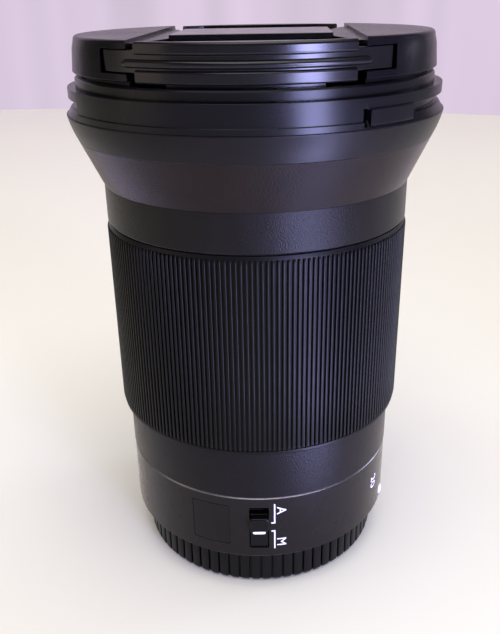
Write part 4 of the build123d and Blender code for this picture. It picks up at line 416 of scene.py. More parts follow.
def curtain_cloth(name, colour):
    """Sheer woven curtain lit from behind, drawn as a glow as bright as its colour: pale, soft in its folds,
    whose light and shade are painted into that colour.
    """
    material, tree, shader, place = new_material(name, colour, 0.95, Specular_IOR_Level=0.1)
    hung = add_node(tree, "ShaderNodeMapping", {"Vector": place, "Scale": (1.0, 1.0, 0.08)})
    # Painted shade: soft vertical bands of noise paint the light and shade of the folds into the curtain's
    # colour
    folds = add_node(tree, "ShaderNodeTexNoise",
                     {"Vector": hung.outputs["Vector"], "Scale": scale_of(90), "Detail": 1.0})
    shade_between(tree, shader, folds.outputs["Fac"], tinted(colour, 0.68), tinted(colour, 1.3))
    cloth_with_painted_folds = shader.inputs["Base Color"].links[0].from_socket
    lit = add_node(tree, "ShaderNodeEmission", {"Color": cloth_with_painted_folds, "Strength": 1.0})
    path = add_node(tree, "ShaderNodeLightPath")
    mirrored = add_node(tree, "ShaderNodeMath", {0: path.outputs["Is Glossy Ray"], 1: 0.6},
                        operation="MULTIPLY")
    seen = add_node(tree, "ShaderNodeMath", {0: path.outputs["Is Camera Ray"], 1: mirrored.outputs["Value"]},
                    operation="MAXIMUM")
    mixed = add_node(tree, "ShaderNodeMixShader",
                     {0: seen.outputs["Value"], 1: shader.outputs["BSDF"], 2: lit.outputs["Emission"]})
    tree.links.new(mixed.outputs["Shader"], tree.nodes["Material Output"].inputs["Surface"])
    return material


def table_laminate(name, colour):
    """Pale matt table laminate with the faintest mottling."""
    material, tree, shader, place = new_material(name, colour, 0.8, Specular_IOR_Level=0.06)
    mottle = add_node(tree, "ShaderNodeTexNoise",
                      {"Vector": place, "Scale": scale_of(160), "Detail": 2.0})
    shade_between(tree, shader, mottle.outputs["Fac"], tinted(colour, 0.97), colour)
    return material


def material_of(maker, name, *values, **settings):
    """The material of this name, made once and then shared."""
    return bpy.data.materials.get(name) or maker(name, *values, **settings)


def inner_plastic():
    """The black plastic of the small pieces inside."""
    return material_of(moulded_polycarbonate, "black_inner_polycarbonate", linear("#121214"), roughness=0.45)


def rod_steel():
    """The bright steel of the rods, the screw and the springs."""
    return material_of(ground_steel, "ground_steel", linear("#b9babb"))


def enamel():
    """The white paint of the marks."""
    return material_of(filled_paint, "white_enamel", finishes().marks)


# Meshes

def softened(corners, radius):
    """A closed outline with its corners rounded, and a point beside each round that keeps its flats flat."""
    outline = []
    for index, corner in enumerate(corners):
        corner = Vector(corner)
        back = Vector(corners[index - 1]) - corner
        ahead = Vector(corners[(index + 1) % len(corners)]) - corner
        turn = math.pi - back.angle(ahead)
        if turn < CURVE_TURN or corner.x == 0:
            outline.append(corner)
            continue
        reach = min(radius * math.tan(turn / 2), back.length / 3, ahead.length / 3)
        hold = min(radius / 2, back.length / 12, ahead.length / 12)
        back.normalize()
        ahead.normalize()
        first = corner + back * reach
        last = corner + ahead * reach
        middle = (first + last) / 4 + corner / 2
        outline += [first + back * hold, first, middle, last, last + ahead * hold]
    return outline


def turn_outline(shape, outline, steps=TURN_STEPS, sweep=2 * math.pi):
    """Turns a closed outline of (radius, height) round the lens axis, the whole way or through a sweep."""
    whole = math.isclose(sweep, 2 * math.pi)
    columns = steps if whole else steps + 1
    rings = []
    for radius, height in outline:
        if radius == 0:
            rings.append([shape.verts.new((0, 0, height * MM))])
            continue
        rings.append([shape.verts.new((radius * MM * math.cos(sweep * step / steps),
                                       radius * MM * math.sin(sweep * step / steps),
                                       height * MM)) for step in range(columns)])
    for ring, after in zip(rings, rings[1:] + rings[:1]):
        if len(ring) == 1 and len(after) == 1:
            continue
        for step in range(steps):
            following = (step + 1) % columns
            corners = (ring[step % len(ring)], ring[following % len(ring)],
                       after[following % len(after)], after[step % len(after)])
            shape.faces.new(dict.fromkeys(corners))
    if not whole:
        shape.faces.new([ring[0] for ring in rings])
        shape.faces.new([ring[-1] for ring in rings])


def rounded_rectangle(left, right, foot, top, corner, steps=5):
    """Outline of a rectangle with round corners."""
    outline = []
    centres = ((right - corner, top - corner), (left + corner, top - corner),
               (left + corner, foot + corner), (right - corner, foot + corner))
    for start, (centre_x, centre_z) in zip((0, 90, 180, 270), centres):
        for step in range(steps + 1):
            angle = math.radians(start + 90 * step / steps)
            outline.append((centre_x + corner * math.cos(angle), centre_z + corner * math.sin(angle)))
    return outline


def loft(shape, rings):
    """Joins each closed ring of corners to the next and puts a lid on the first and the last."""
    for ring, after in zip(rings, rings[1:]):
        for index in range(len(ring)):
            following = (index + 1) % len(ring)
            shape.faces.new((ring[index], ring[following], after[following], after[index]))
    shape.faces.new(rings[0])
    shape.faces.new(rings[-1])


def prism(shape, outline, low, high):
    """A flat plate: the outline runs along X and Z, and its thickness stands out along -Y."""
    loft(shape, [[shape.verts.new((x * MM, -out * MM, z * MM)) for x, z in outline] for out in (high, low)])


def slab(shape, outline, foot, top):
    """A flat plate: the outline runs along X and Y, and its thickness along Z."""
    loft(shape, [[shape.verts.new((x * MM, y * MM, z * MM)) for x, y in outline] for z in (foot, top)])


def bend_round(shape, radius, step=0.8):
    """Bends flat plates round the lens: X becomes the way round and -Y the height over the radius."""
    low = min(vertex.co.x for vertex in shape.verts)
    high = max(vertex.co.x for vertex in shape.verts)
    cut = low + step * MM
    while cut < high:
        geometry = shape.verts[:] + shape.edges[:] + shape.faces[:]
        bmesh.ops.bisect_plane(shape, geom=geometry, plane_co=(cut, 0, 0), plane_no=(1, 0, 0))
        cut += step * MM
    for vertex in shape.verts:
        bearing = vertex.co.x / (radius * MM)
        reach = radius * MM - vertex.co.y
        vertex.co = (reach * math.sin(bearing), -reach * math.cos(bearing), vertex.co.z)


def arc_bar(shape, section, stations):
    """A bar bent round the lens axis: a closed section of (radius, height), drawn at each station, which is
    (bearing in degrees from -Y, share of the section)."""
    middle = sum((Vector(corner) for corner in section), Vector((0, 0))) / len(section)
    rings = []
    for bearing, share in stations:
        across, along = math.sin(math.radians(bearing)), -math.cos(math.radians(bearing))
        ring = []
        for corner in section:
            radius, height = middle + (Vector(corner) - middle) * share
            ring.append(shape.verts.new((radius * MM * across, radius * MM * along, height * MM)))
        rings.append(ring)
    loft(shape, rings)


def half_angle(half_width, radius):
    """The bearing, in degrees, at which a circle is half a width from its middle line."""
    return math.degrees(math.asin(half_width / radius))


def evenly(first, last, step=1.0):
    """Stations of full section from one bearing to another."""
    count = max(2, round(abs(last - first) / step))
    return [(first + (last - first) * index / count, 1.0) for index in range(count + 1)]


def mesh_of(name, shape, sharp=SHARP_TURN):
    """Closes a shape into a mesh with outward faces and soft shading."""
    bmesh.ops.recalc_face_normals(shape, faces=shape.faces[:])
    for face in shape.faces:
        face.smooth = True
    mesh = bpy.data.meshes.new(name)
    shape.to_mesh(mesh)
    shape.free()
    mesh.set_sharp_from_angle(angle=sharp)
    return mesh


def loose_object(name, mesh):
    """An object that holds a mesh, a lamp or a camera and stands at the origin."""
    made = bpy.data.objects.new(name, mesh)
    bpy.context.scene.collection.objects.link(made)
    return made


def settled(made):
    """The mesh of an object with its modifiers applied; the object itself goes."""
    graph = bpy.context.evaluated_depsgraph_get()
    mesh = bpy.data.meshes.new_from_object(made.evaluated_get(graph), depsgraph=graph)
    mesh.name = made.name
    bpy.data.objects.remove(made)
    return mesh


def carved(name, mesh, cutters, edge):
    """The mesh with the cutters' shapes taken out of it and the new edges eased."""
    body = loose_object(name, mesh)
    tools = []
    for cutter in cutters:
        tool = loose_object("cutter", cutter)
        modifier = body.modifiers.new("cut", "BOOLEAN")
        modifier.object = tool
        modifier.solver = "EXACT"
        tools.append(tool)
    ease_edges(body, edge)
    mesh = settled(body)
    for tool in tools:
        bpy.data.objects.remove(tool)
    return mesh


def ease_edges(made, edge):
    """Rounds an object's sharp edges and keeps its flats flat."""
    bevel = made.modifiers.new("ease", "BEVEL")
    bevel.width = edge * MM
    bevel.segments = 2
    bevel.limit_method = "ANGLE"
    bevel.angle_limit = SHARP_TURN
    bevel.miter_outer = "MITER_ARC"
    flats = made.modifiers.new("flats", "WEIGHTED_NORMAL")
    flats.keep_sharp = True


def eased(name, mesh, edge):
    """A mesh with its sharp edges rounded."""
    made = loose_object(name, mesh)
    ease_edges(made, edge)
    return settled(made)


def eased_copy(name, node, edge):
    """A copy of a node's mesh with its triangles merged into faces and its edges rounded."""
    weld = 0.002 * MM
    flat = math.radians(0.8)
    shape = bmesh.new()
    shape.from_mesh(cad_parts[node].data)
    bmesh.ops.remove_doubles(shape, verts=shape.verts[:], dist=weld)
    bmesh.ops.dissolve_limit(shape, angle_limit=flat, verts=shape.verts[:], edges=shape.edges[:])
    points = [vertex.co.copy() for vertex in shape.verts]
    shape.verts.index_update()
    faces = [[vertex.index for vertex in face.verts] for face in shape.faces]
    shape.free()
    mesh = bpy.data.meshes.new(name)
    mesh.from_pydata(points, [], faces)
    mesh.shade_smooth()
    mesh.set_sharp_from_angle(angle=SHARP_TURN)
    return eased(name, mesh, edge)


def copies_round_axis():
    """Geometry Nodes tree that sets copies of the piece it is given evenly round the lens axis."""
    made = bpy.data.node_groups.get("copies_round_axis")
    if made:
        return made
    tree = bpy.data.node_groups.new("copies_round_axis", "GeometryNodeTree")
    for name, kind in (("Piece", "NodeSocketGeometry"), ("Count", "NodeSocketInt"),
                       ("First bearing", "NodeSocketFloat"), ("Reach", "NodeSocketFloat"),
                       ("Foot", "NodeSocketFloat"), ("Finish", "NodeSocketMaterial")):
        tree.interface.new_socket(name, in_out="INPUT", socket_type=kind)
    tree.interface.new_socket("Ring", in_out="OUTPUT", socket_type="NodeSocketGeometry")
    given = add_node(tree, "NodeGroupInput").outputs
    place = add_node(tree, "ShaderNodeCombineXYZ", {"X": given["Reach"], "Z": given["Foot"]})
    placed = add_node(tree, "GeometryNodeTransform",
                      {"Geometry": given["Piece"], "Translation": place.outputs["Vector"]})
    points = add_node(tree, "GeometryNodePoints", {"Count": given["Count"]})
    step = add_node(tree, "ShaderNodeMath", {0: 2 * math.pi, 1: given["Count"]}, operation="DIVIDE")
    number = add_node(tree, "GeometryNodeInputIndex")
    bearing = add_node(tree, "ShaderNodeMath",
                       {0: number.outputs["Index"], 1: step.outputs["Value"], 2: given["First bearing"]},
                       operation="MULTIPLY_ADD")
    turn = add_node(tree, "ShaderNodeCombineXYZ", {"Z": bearing.outputs["Value"]})
    ring = add_node(tree, "GeometryNodeInstanceOnPoints",
                    {"Points": points.outputs[0], "Instance": placed.outputs["Geometry"],
                     "Rotation": turn.outputs["Vector"]})
    real = add_node(tree, "GeometryNodeRealizeInstances", {"Geometry": ring.outputs["Instances"]})
    painted = add_node(tree, "GeometryNodeSetMaterial",
                       {"Geometry": real.outputs["Geometry"], "Material": given["Finish"]})
    add_node(tree, "NodeGroupOutput", {"Ring": painted.outputs["Geometry"]})
    return tree


def ring_of(name, mesh, finish, count, first_bearing=0.0, reach=0.0, foot=0.0):
    """The mesh repeated round the lens axis, as one plain mesh."""
    tree = copies_round_axis()
    made = loose_object(name, mesh)
    modifier = made.modifiers.new("ring", "NODES")
    modifier.node_group = tree
    values = {"Count": count, "First bearing": math.radians(first_bearing), "Reach": reach * MM,
              "Foot": foot * MM, "Finish": finish}
    for socket in tree.interface.items_tree:
        if socket.name in values:
            modifier[socket.identifier] = values[socket.name]
    return settled(made)


def rib(name, stations, half_width, depth, edge):
    """One rib standing out along X: each station is (height, share of the depth, share of the width).
    The root lies inside the ring, and each shoulder is a curve of three corners."""
    shape = bmesh.new()
    rings = []
    root = -0.3
    for height, rise, spread in stations:
        out = depth * rise
        half = half_width * spread
        soft = min(edge, out * 0.8)
        shoulder = [(out - soft, half), (out - soft * 0.25, half - soft * 0.4), (out, half - soft * 1.2)]
        section = [(root, -half), *((x, -y) for x, y in shoulder), *reversed(shoulder), (root, half)]
        rings.append([shape.verts.new((x * MM, y * MM, height * MM)) for x, y in section])
    loft(shape, rings)
    return mesh_of(name, shape, sharp=math.radians(60))


def add_piece(name, mesh, material, body, slot, *nodes):
    """A finished piece of the lens, riding on a body and standing for the nodes named."""
    mesh.materials.clear()
    mesh.materials.append(material)
    made = loose_object(name, mesh)
    if nodes:
        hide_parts(*nodes)
    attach(made, body)
    return made


def dress(material, *nodes):
    """Gives nodes of the frame a finish."""
    for node in nodes:
        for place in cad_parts[node].material_slots:
            place.material = material


def turned_piece(name, corners, material, body, slot, *nodes, edge=None):
    """A piece turned from a closed outline of (radius, height)."""
    shape = bmesh.new()
    turn_outline(shape, softened(corners, edge or sizes().edge_round / MM))
    return add_piece(name, mesh_of(name, shape), material, body, slot, *nodes)


# Operators, one for each piece or group of like pieces

class LENS_OT_inner_works(bpy.types.Operator):
    """Finish the chassis, cells, iris, boards and focus drive"""

    bl_idname = "lens.inner_works"
    bl_label = "Inner works"

    def execute(self, context):
        chassis = material_of(cast_metal, "die_cast_magnesium", linear("#77787a"))
        cells = material_of(satin_anodising, "anodised_cell_aluminium", linear("#202022"), roughness=0.42)
        board = material_of(laminate_board, "circuit_laminate", linear("#1f5a3a"))
        brass = material_of(cast_metal, "turned_brass", linear("#b08d4a"), roughness=0.3, grain=0.3)
        blades = material_of(satin_anodising, "blackened_blade_steel", linear("#141415"), roughness=0.5)
        foil = material_of(ground_steel, "encoder_foil", linear("#8f9499"), roughness=0.35)
        dress(chassis, "main_barrel")
        dress(cells, "front_cell", "front_retainer", "rear_cell", "iris_housing", "iris_cover", "iris_ring",
              "focus_carriage")
        dress(rod_steel(), "guide_rods", "lead_screw", "focus_motor")
        dress(board, "circuit_board", "switch_board")
        dress(brass, "lead_nut")
        dress(blades, *(f"blade_{number + 1}" for number in range(9)))
        dress(inner_plastic(), "ring_sensor", "switch_slider", "rear_baffle", "front_trim")
        dress(foil, "encoder_strip")
        return {"FINISHED"}


class LENS_OT_glass(bpy.types.Operator):
    """Finish the glass elements"""

    bl_idname = "lens.glass"
    bl_label = "Glass"

    def execute(self, context):
        glass = material_of(coated_optical_glass, "coated_optical_glass", finishes().glass_tint)
        dress(glass, "front_element", "second_element", "third_element", "front_doublet", "fifth_element",
              "focus_rear_element", "focus_doublet", "focus_front_element", "rear_doublet",
              "aspheric_element", "rear_element")
        return {"FINISHED"}


class LENS_OT_mount(bpy.types.Operator):
    """Finish the bayonet mount, its gasket and its contacts"""

    bl_idname = "lens.mount"
    bl_label = "Lens mount"

    def execute(self, context):
        dress(material_of(plated_brass, "chromium_plated_brass", finishes().chrome), "lens_mount")
        dress(material_of(moulded_rubber, "nitrile_rubber", linear("#141416")), "mount_gasket")
        dress(inner_plastic(), "contact_block")
        dress(material_of(cast_metal, "plated_contact_gold", linear("#d8b25a"), roughness=0.22, grain=0.3),
              "contact_pins")
        return {"FINISHED"}


class LENS_OT_screws(bpy.types.Operator):
    """Make the screws of the mount and the front cell, each with a cross recess"""

    bl_idname = "lens.screws"
    bl_label = "Screws"

    def execute(self, context):
        steel = material_of(ground_steel, "nickel_plated_screw_steel", linear("#a9aaab"), roughness=0.26)
        self.make_screws("mount_screws", steel, count=4, first=-45.0, head_radius=1.6, head_height=1.0)
        self.make_screws("front_cell_screws", steel, count=3, first=90.0, head_radius=1.7, head_height=1.5,
                         head_up=True)
        return {"FINISHED"}

    def make_screws(self, node, steel, count, first, head_radius, head_height, head_up=False):
        """One screw as long as the node's own, with a cross in its head, repeated round the axis."""
        foot, top, _ = span(node)
        length = top - foot
        shank, head_round, steps = 0.8, 0.1, 32
        head = [(0, 0), (head_radius, 0), (head_radius, head_height), (shank, head_height), (shank, length),
                (0, length)]
        shape = bmesh.new()
        turn_outline(shape, softened(head, head_round), steps)
        body = mesh_of(node, shape)
        reach, half, depth, recess_round = 0.85, 0.19, 0.5, 0.03
        arms = bmesh.new()
        for x, z in ((reach, half), (half, reach)):
            prism(arms, [(-x, -z), (x, -z), (x, z), (-x, z)], -depth, depth)
        bmesh.ops.rotate(arms, verts=arms.verts[:], matrix=Matrix.Rotation(math.radians(90), 3, "X"))
        screw = carved(node, body, [mesh_of("cross", arms)], recess_round)
        if head_up:
            screw.transform(Matrix.Rotation(math.pi, 4, "X") @ Matrix.Translation((0, 0, -length * MM)))
        points = [vertex.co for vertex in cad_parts[node].data.vertices]
        axis = max(math.hypot(point.x, point.y) for point in points) / MM - head_radius
        mesh = ring_of(node, screw, steel, count, first, axis, foot)
        add_piece(node + "_crossed", mesh, steel, "barrel", "screw_steel", node)


class LENS_OT_rear_cap(bpy.types.Operator):
    """Make the rear cap: a cup, its ribs and its inner tabs"""

    bl_idname = "lens.rear_cap"
    bl_label = "Rear cap"

    def execute(self, context):
        foot, top, radius = span("rear_cap")
        depth = sizes().cap_rib_depth / MM
        count = sizes().cap_ribs
        rim = radius - depth
        bore, floor, chamfer = 28.3, 1.6, 0.6
        recess, recess_depth = 25, 0.5
        plastic = material_of(moulded_polycarbonate, "moulded_rear_cap", finishes().cap, roughness=0.34)
        corners = [(0, foot + recess_depth), (recess, foot + recess_depth), (recess, foot),
                   (rim - chamfer, foot), (rim, foot + chamfer), (rim, top), (bore, top),
                   (bore, foot + floor), (0, foot + floor)]
        turned_piece("rear_cap_cup", corners, plastic, "rear_cap", "cap_plastic", "rear_cap")
        half_width = math.pi * radius / count - sizes().cap_groove_width / MM / 2
        stations = [(0.45, 0.05, 0.55), (0.6, 0.45, 0.78), (0.95, 0.82, 0.94), (1.5, 1.0, 1.0),
                    (top - 0.5, 1.0, 1.0), (top - 0.2, 0.85, 0.97), (top - 0.02, 0.5, 0.93)]
        one = rib("rear_cap_rib", stations, half_width, depth, edge=0.22)
        ribs = ring_of("rear_cap_ribs", one, plastic, count, 360 / count / 2, rim)
        add_piece("rear_cap_ribs", ribs, plastic, "rear_cap", "cap_plastic")
        tab_reach, tab_foot, tab_top, tab_root, tab_round = 26, 7.3, 8.8, 0.1, 0.15
        tab_count, tab_sweep, first_tab = 4, 36, -108
        tab = [(tab_reach, tab_foot), (bore + tab_root, tab_foot), (bore + tab_root, tab_top),
               (tab_reach, tab_top)]
        shape = bmesh.new()
        turn_outline(shape, softened(tab, tab_round), steps=24, sweep=math.radians(tab_sweep))
        tabs = ring_of("rear_cap_tabs", mesh_of("rear_cap_tab", shape), plastic, tab_count, first_tab)
        add_piece("rear_cap_tabs", tabs, plastic, "rear_cap", "cap_plastic")
        return {"FINISHED"}


class LENS_OT_rear_barrel(bpy.types.Operator):
    """Make the rear barrel with its switch slot and its badge recess"""

    bl_idname = "lens.rear_barrel"
    bl_label = "Rear barrel"

    def execute(self, context):
        foot, top, radius = span("rear_barrel")
        lower_edge, upper_edge, edge_round, cut_round = 0.45, 0.3, 0.12, 0.07
        anodised = material_of(satin_anodising, "satin_anodised_aluminium", finishes().barrel)
        corners = [(SLEEVE_BORE, foot), (radius - lower_edge, foot), (radius, foot + lower_edge),
                   (radius, top - upper_edge), (radius - upper_edge, top), (SLEEVE_BORE, top)]
        shape = bmesh.new()
        turn_outline(shape, softened(corners, edge_round))
        shell = mesh_of("rear_barrel_shell", shape)
        slot_outline = rounded_rectangle(left=-2.75, right=2.05, foot=13.25, top=25.15, corner=0.5)
        slot_back, slot_front, recess_front = 29, 36, 1.0
        slot = bmesh.new()
        prism(slot, slot_outline, slot_back, slot_front)
        recess = bmesh.new()
        prism(recess, badge_outline(0), -BADGE_DEPTH, recess_front)
        bend_round(recess, radius)
        cutters = [mesh_of("slot", slot), mesh_of("recess", recess)]
        mesh = carved("rear_barrel_shell", shell, cutters, cut_round)
        add_piece("rear_barrel_shell", mesh, anodised, "barrel", "barrel_coat", "rear_barrel")
        self.make_cut_edge(top, radius)
        return {"FINISHED"}

    def make_cut_edge(self, top, radius):
        """A thin skin over the sleeve's bevelled upper edge."""
        bare = material_of(cut_edge, "cut_aluminium_edge", finishes().seam)
        edge = sizes().seam_edge / MM
        skin, lap, root = 0.01, 0.05, 0.1
        corners = [(radius - edge - root, top - edge - root), (radius + skin, top - edge - lap),
                   (radius + skin, top - edge), (radius - edge, top + skin),
                   (radius - edge - lap, top + skin)]
        turned_piece("rear_barrel_cut_edge", corners, bare, "barrel", "barrel_coat", edge=0.02)


def badge_outline(inset):
    """Outline of the badge plate, laid flat: arc length round the rear barrel, and height."""
    radius = span("rear_barrel")[2]
    left_bearing, right_bearing = -28.9, -12.6
    foot, top, corner = 13.95, 25.3, 0.45
    return rounded_rectangle(math.radians(left_bearing) * radius + inset,
                             math.radians(right_bearing) * radius - inset, foot + inset, top - inset, corner)


class LENS_OT_badge_plate(bpy.types.Operator):
    """Make the bare badge plate in its recess"""

    bl_idname = "lens.badge_plate"
    bl_label = "Badge plate"

    def execute(self, context):
        gap, sunk, edge = 0.14, 0.03, 0.06
        plate = material_of(satin_anodising, "satin_anodised_plate", finishes().band, roughness=0.24)
        shape = bmesh.new()
        prism(shape, badge_outline(gap), -BADGE_DEPTH, -sunk)
        bend_round(shape, span("rear_barrel")[2])
        mesh = eased("badge_plate_bare", mesh_of("badge_plate_bare", shape), edge)
        add_piece("badge_plate_bare", mesh, plate, "barrel", "badge_plate", "badge_plate")
        return {"FINISHED"}


class LENS_OT_mode_switch(bpy.types.Operator):
    """Make the switch knob and its white line"""

    bl_idname = "lens.mode_switch"
    bl_label = "Mode switch"

    def execute(self, context):
        plastic = material_of(moulded_polycarbonate, "moulded_switch", finishes().cap, roughness=0.2)
        low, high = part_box("switch_knob")
        left, right = low[0] / MM, high[0] / MM
        foot, top = low[2] / MM, high[2] / MM
        back, proud = -high[1] / MM, -low[1] / MM
        face, edge = 33.4, 0.26
        step, gap, neck, root = top - 3.75, 0.55, face - 0.4, face - 0.6
        shape = bmesh.new()
        prism(shape, rounded_rectangle(left, right, foot, top, 0.4), back, neck)
        prism(shape, rounded_rectangle(left, right, foot, step - gap, 0.45), root, face)
        prism(shape, rounded_rectangle(left, right, step, top, 0.75), root, proud)
        mesh = eased("switch_knob_moulded", mesh_of("switch_knob_moulded", shape), edge)
        add_piece("switch_knob_moulded", mesh, plastic, "switch", "switch_plastic", "switch_knob")
        line = rounded_rectangle(left=-1.85, right=1.2, foot=17.1, top=18.0, corner=0.4)
        sunk, film = 0.1, 0.03
        shape = bmesh.new()
        prism(shape, line, face - sunk, face + film)
        add_piece("switch_line", mesh_of("switch_line", shape), enamel(), "switch", "switch_plastic")
        return {"FINISHED"}


class LENS_OT_marks(bpy.types.Operator):
    """Paint the brackets, the letters, the number and the mounting dot"""

    bl_idname = "lens.marks"
    bl_label = "Marks"

    def execute(self, context):
        radius = span("rear_barrel")[2]
        stroke = sizes().mark_stroke / MM
        film = sizes().mark_film / MM
        shape = bmesh.new()
        line = math.radians(5.7) * radius
        tick = math.radians(4.35) * radius
        upper_foot, upper_top, lower_foot, lower_top = 20.5, 26.1, 13.0, 18.45
        for foot, top in ((upper_foot, upper_top), (lower_foot, lower_top)):
            self.bar(shape, line - stroke / 2, line + stroke / 2, foot, top, film)
        for height in (upper_foot, lower_top - stroke):
            self.bar(shape, tick, line, height, height + stroke, film)
        dot_bearing, dot_height, dot_rise = 71.5, 13.1, 0.45
        self.bead(shape, math.radians(dot_bearing) * radius, dot_height, sizes().dot_radius / MM, dot_rise)
        bend_round(shape, radius)
        add_piece("switch_brackets", mesh_of("switch_brackets", shape), enamel(), "barrel", "barrel_coat")
        letter, number = sizes().letter_height, sizes().number_height
        self.write("letter_a", "A", letter, bearing=8.55, middle=24.15)
        self.write("letter_m", "M", letter, bearing=8.55, middle=14.9)
        self.write("side_number", "20", number, bearing=59.6, middle=20.2)
        return {"FINISHED"}

    def bar(self, shape, left, right, foot, top, film):
        """A painted bar, laid flat, whose root lies under the surface."""
        prism(shape, [(left, foot), (right, foot), (right, top), (left, top)], -PAINT_ROOT, film)

    def bead(self, shape, middle, height, size, rise):
        """A round mark that stands out as a shallow dome, laid flat."""
        rings = []
        for share in (0.0, 0.25, 0.5, 0.75, 0.93):
            reach = size * math.sqrt(1 - share * share)
            turns = [math.radians(angle) for angle in range(0, 360, 15)]
            rings.append([shape.verts.new(((middle + reach * math.cos(turn)) * MM, -rise * share * MM,
                                           (height + reach * math.sin(turn)) * MM)) for turn in turns])
        loft(shape, rings)

    def write(self, name, text, height, bearing, middle):
        """Painted text that reads down the rear barrel, centred at a bearing and a height."""
        radius = span("rear_barrel")[2]
        film = sizes().mark_film / MM
        size_of_capital = 1.42
        curve = bpy.data.curves.new(name, "FONT")
        curve.body = text
        curve.size = height * size_of_capital
        curve.extrude = (film + PAINT_ROOT) * MM / 2
        mesh = settled(loose_object(name, curve))
        shape = bmesh.new()
        shape.from_mesh(mesh)
        xs = [vertex.co.x for vertex in shape.verts]
        ys = [vertex.co.y for vertex in shape.verts]
        centre = Vector(((min(xs) + max(xs)) / 2, (min(ys) + max(ys)) / 2, 0))
        across = math.radians(bearing) * radius * MM
        for vertex in shape.verts:
            local = vertex.co - centre
            vertex.co = (across + local.y, -local.z, middle * MM - local.x)
        bmesh.ops.remove_doubles(shape, verts=shape.verts[:], dist=0.001 * MM)
        bend_round(shape, radius, step=0.6)
        add_piece(name, mesh_of(name, shape), enamel(), "barrel", "barrel_coat")


class LENS_OT_plain_band(bpy.types.Operator):
    """Make the plain band between the rear barrel and the control ring"""

    bl_idname = "lens.plain_band"
    bl_label = "Plain band"

    def execute(self, context):
        foot, top, radius = span("plain_band")
        lower_edge, upper_edge = 0.2, 0.35
        lacquer = material_of(stippled_lacquer, "stippled_band_lacquer", finishes().band, bloom=0.3)
        corners = [(SLEEVE_BORE, foot), (radius - lower_edge, foot), (radius, foot + lower_edge),
                   (radius, top - upper_edge), (radius - upper_edge, top), (SLEEVE_BORE, top)]
        turned_piece("plain_band_turned", corners, lacquer, "barrel", "band_coat", "plain_band")
        return {"FINISHED"}


class LENS_OT_control_ring(bpy.types.Operator):
    """Make the control ring and its ribs"""

    bl_idname = "lens.control_ring"
    bl_label = "Control ring"

    def execute(self, context):
        foot, top, radius = span("control_ring")
        depth = sizes().grip_rib_depth / MM
        bore, rim_drop, chamfer, lower_rim, upper_rim = 33.4, 0.25, 0.3, 1.0, 0.9
        rim = radius - rim_drop
        floor = radius - depth
        grip = material_of(machined_ring, "milled_anodised_grip", finishes().grip)
        corners = [(bore, foot), (rim - chamfer, foot), (rim, foot + chamfer), (rim, foot + lower_rim),
                   (floor, foot + lower_rim), (floor, top - upper_rim), (rim, top - upper_rim),
                   (rim - chamfer, top), (bore, top)]
        turned_piece("control_ring_core", corners, grip, "control_ring", "grip_coat", "control_ring",
                     edge=0.1)
        half_width = sizes().grip_rib_width / MM / 2
        length = top - foot - lower_rim - upper_rim
        ends = ((-0.02, 0.35, 0.9), (0.25, 0.8, 0.97), (0.6, 1.0, 1.0))
        stations = [*ends, *((length - lead, rise, spread) for lead, rise, spread in reversed(ends))]
        one = rib("grip_rib", stations, half_width, depth, edge=0.14)
        ribs = ring_of("control_ring_ribs", one, grip, sizes().grip_ribs, reach=floor, foot=foot + lower_rim)
        add_piece("control_ring_ribs", ribs, grip, "control_ring", "grip_coat")
        return {"FINISHED"}


class LENS_OT_front_barrel(bpy.types.Operator):
    """Make the front barrel: neck, cone and flared band"""

    bl_idname = "lens.front_barrel"
    bl_label = "Front barrel"

    def execute(self, context):
        foot, top, radius = span("front_barrel")
        lacquer = material_of(stippled_lacquer, "stippled_front_lacquer", finishes().stipple, bloom=0.1)
        # The cone's lacquer is coloured lighter and browner than the neck's: painted light from the pale
        # table, on the same paint
        coarse_lacquer_painted_lighter = material_of(stippled_lacquer, "stippled_cone_lacquer", finishes().cone, bloom=0.6,
                             grain=0.34, gloss=0.07, roughness=0.42)
        smooth = material_of(stippled_lacquer, "smooth_flare_lacquer", finishes().stipple, bloom=0.06,
                             relief=0.012)
        neck, cone_top, wall, chamfer = 35.4, 40.15, 1.8, 0.3
        collar_z, cone_z, flare_z = foot + 2.8, foot + 8.7, foot + 19.0
        seat, seat_z, swell = 36, top - 2.15, 0.8
        flare = [(cone_top + (radius - cone_top) * share + swell * share * (1 - share),
                  flare_z + (top - flare_z) * share) for share in (0.2, 0.4, 0.6, 0.8)]
        lower = [(neck - wall, cone_z), (neck - wall, collar_z), (SLEEVE_BORE, collar_z),
                 (SLEEVE_BORE, foot), (neck - chamfer, foot), (neck, foot + chamfer), (neck, cone_z)]
        middle = [(neck - wall, cone_z), (neck, cone_z), (cone_top, flare_z), (cone_top - wall, flare_z)]
        upper = [(radius, top), (seat, top), (seat, seat_z), (cone_top - wall, seat_z),
                 (cone_top - wall, flare_z), (cone_top, flare_z), *flare]
        turned_piece("front_barrel_neck", lower, lacquer, "barrel", "barrel_coat", "front_barrel")
        turned_piece("front_barrel_cone", middle, coarse_lacquer_painted_lighter, "barrel", "barrel_coat", edge=0.04)
        turned_piece("front_barrel_flare", upper, smooth, "barrel", "barrel_coat", edge=0.22)
        return {"FINISHED"}


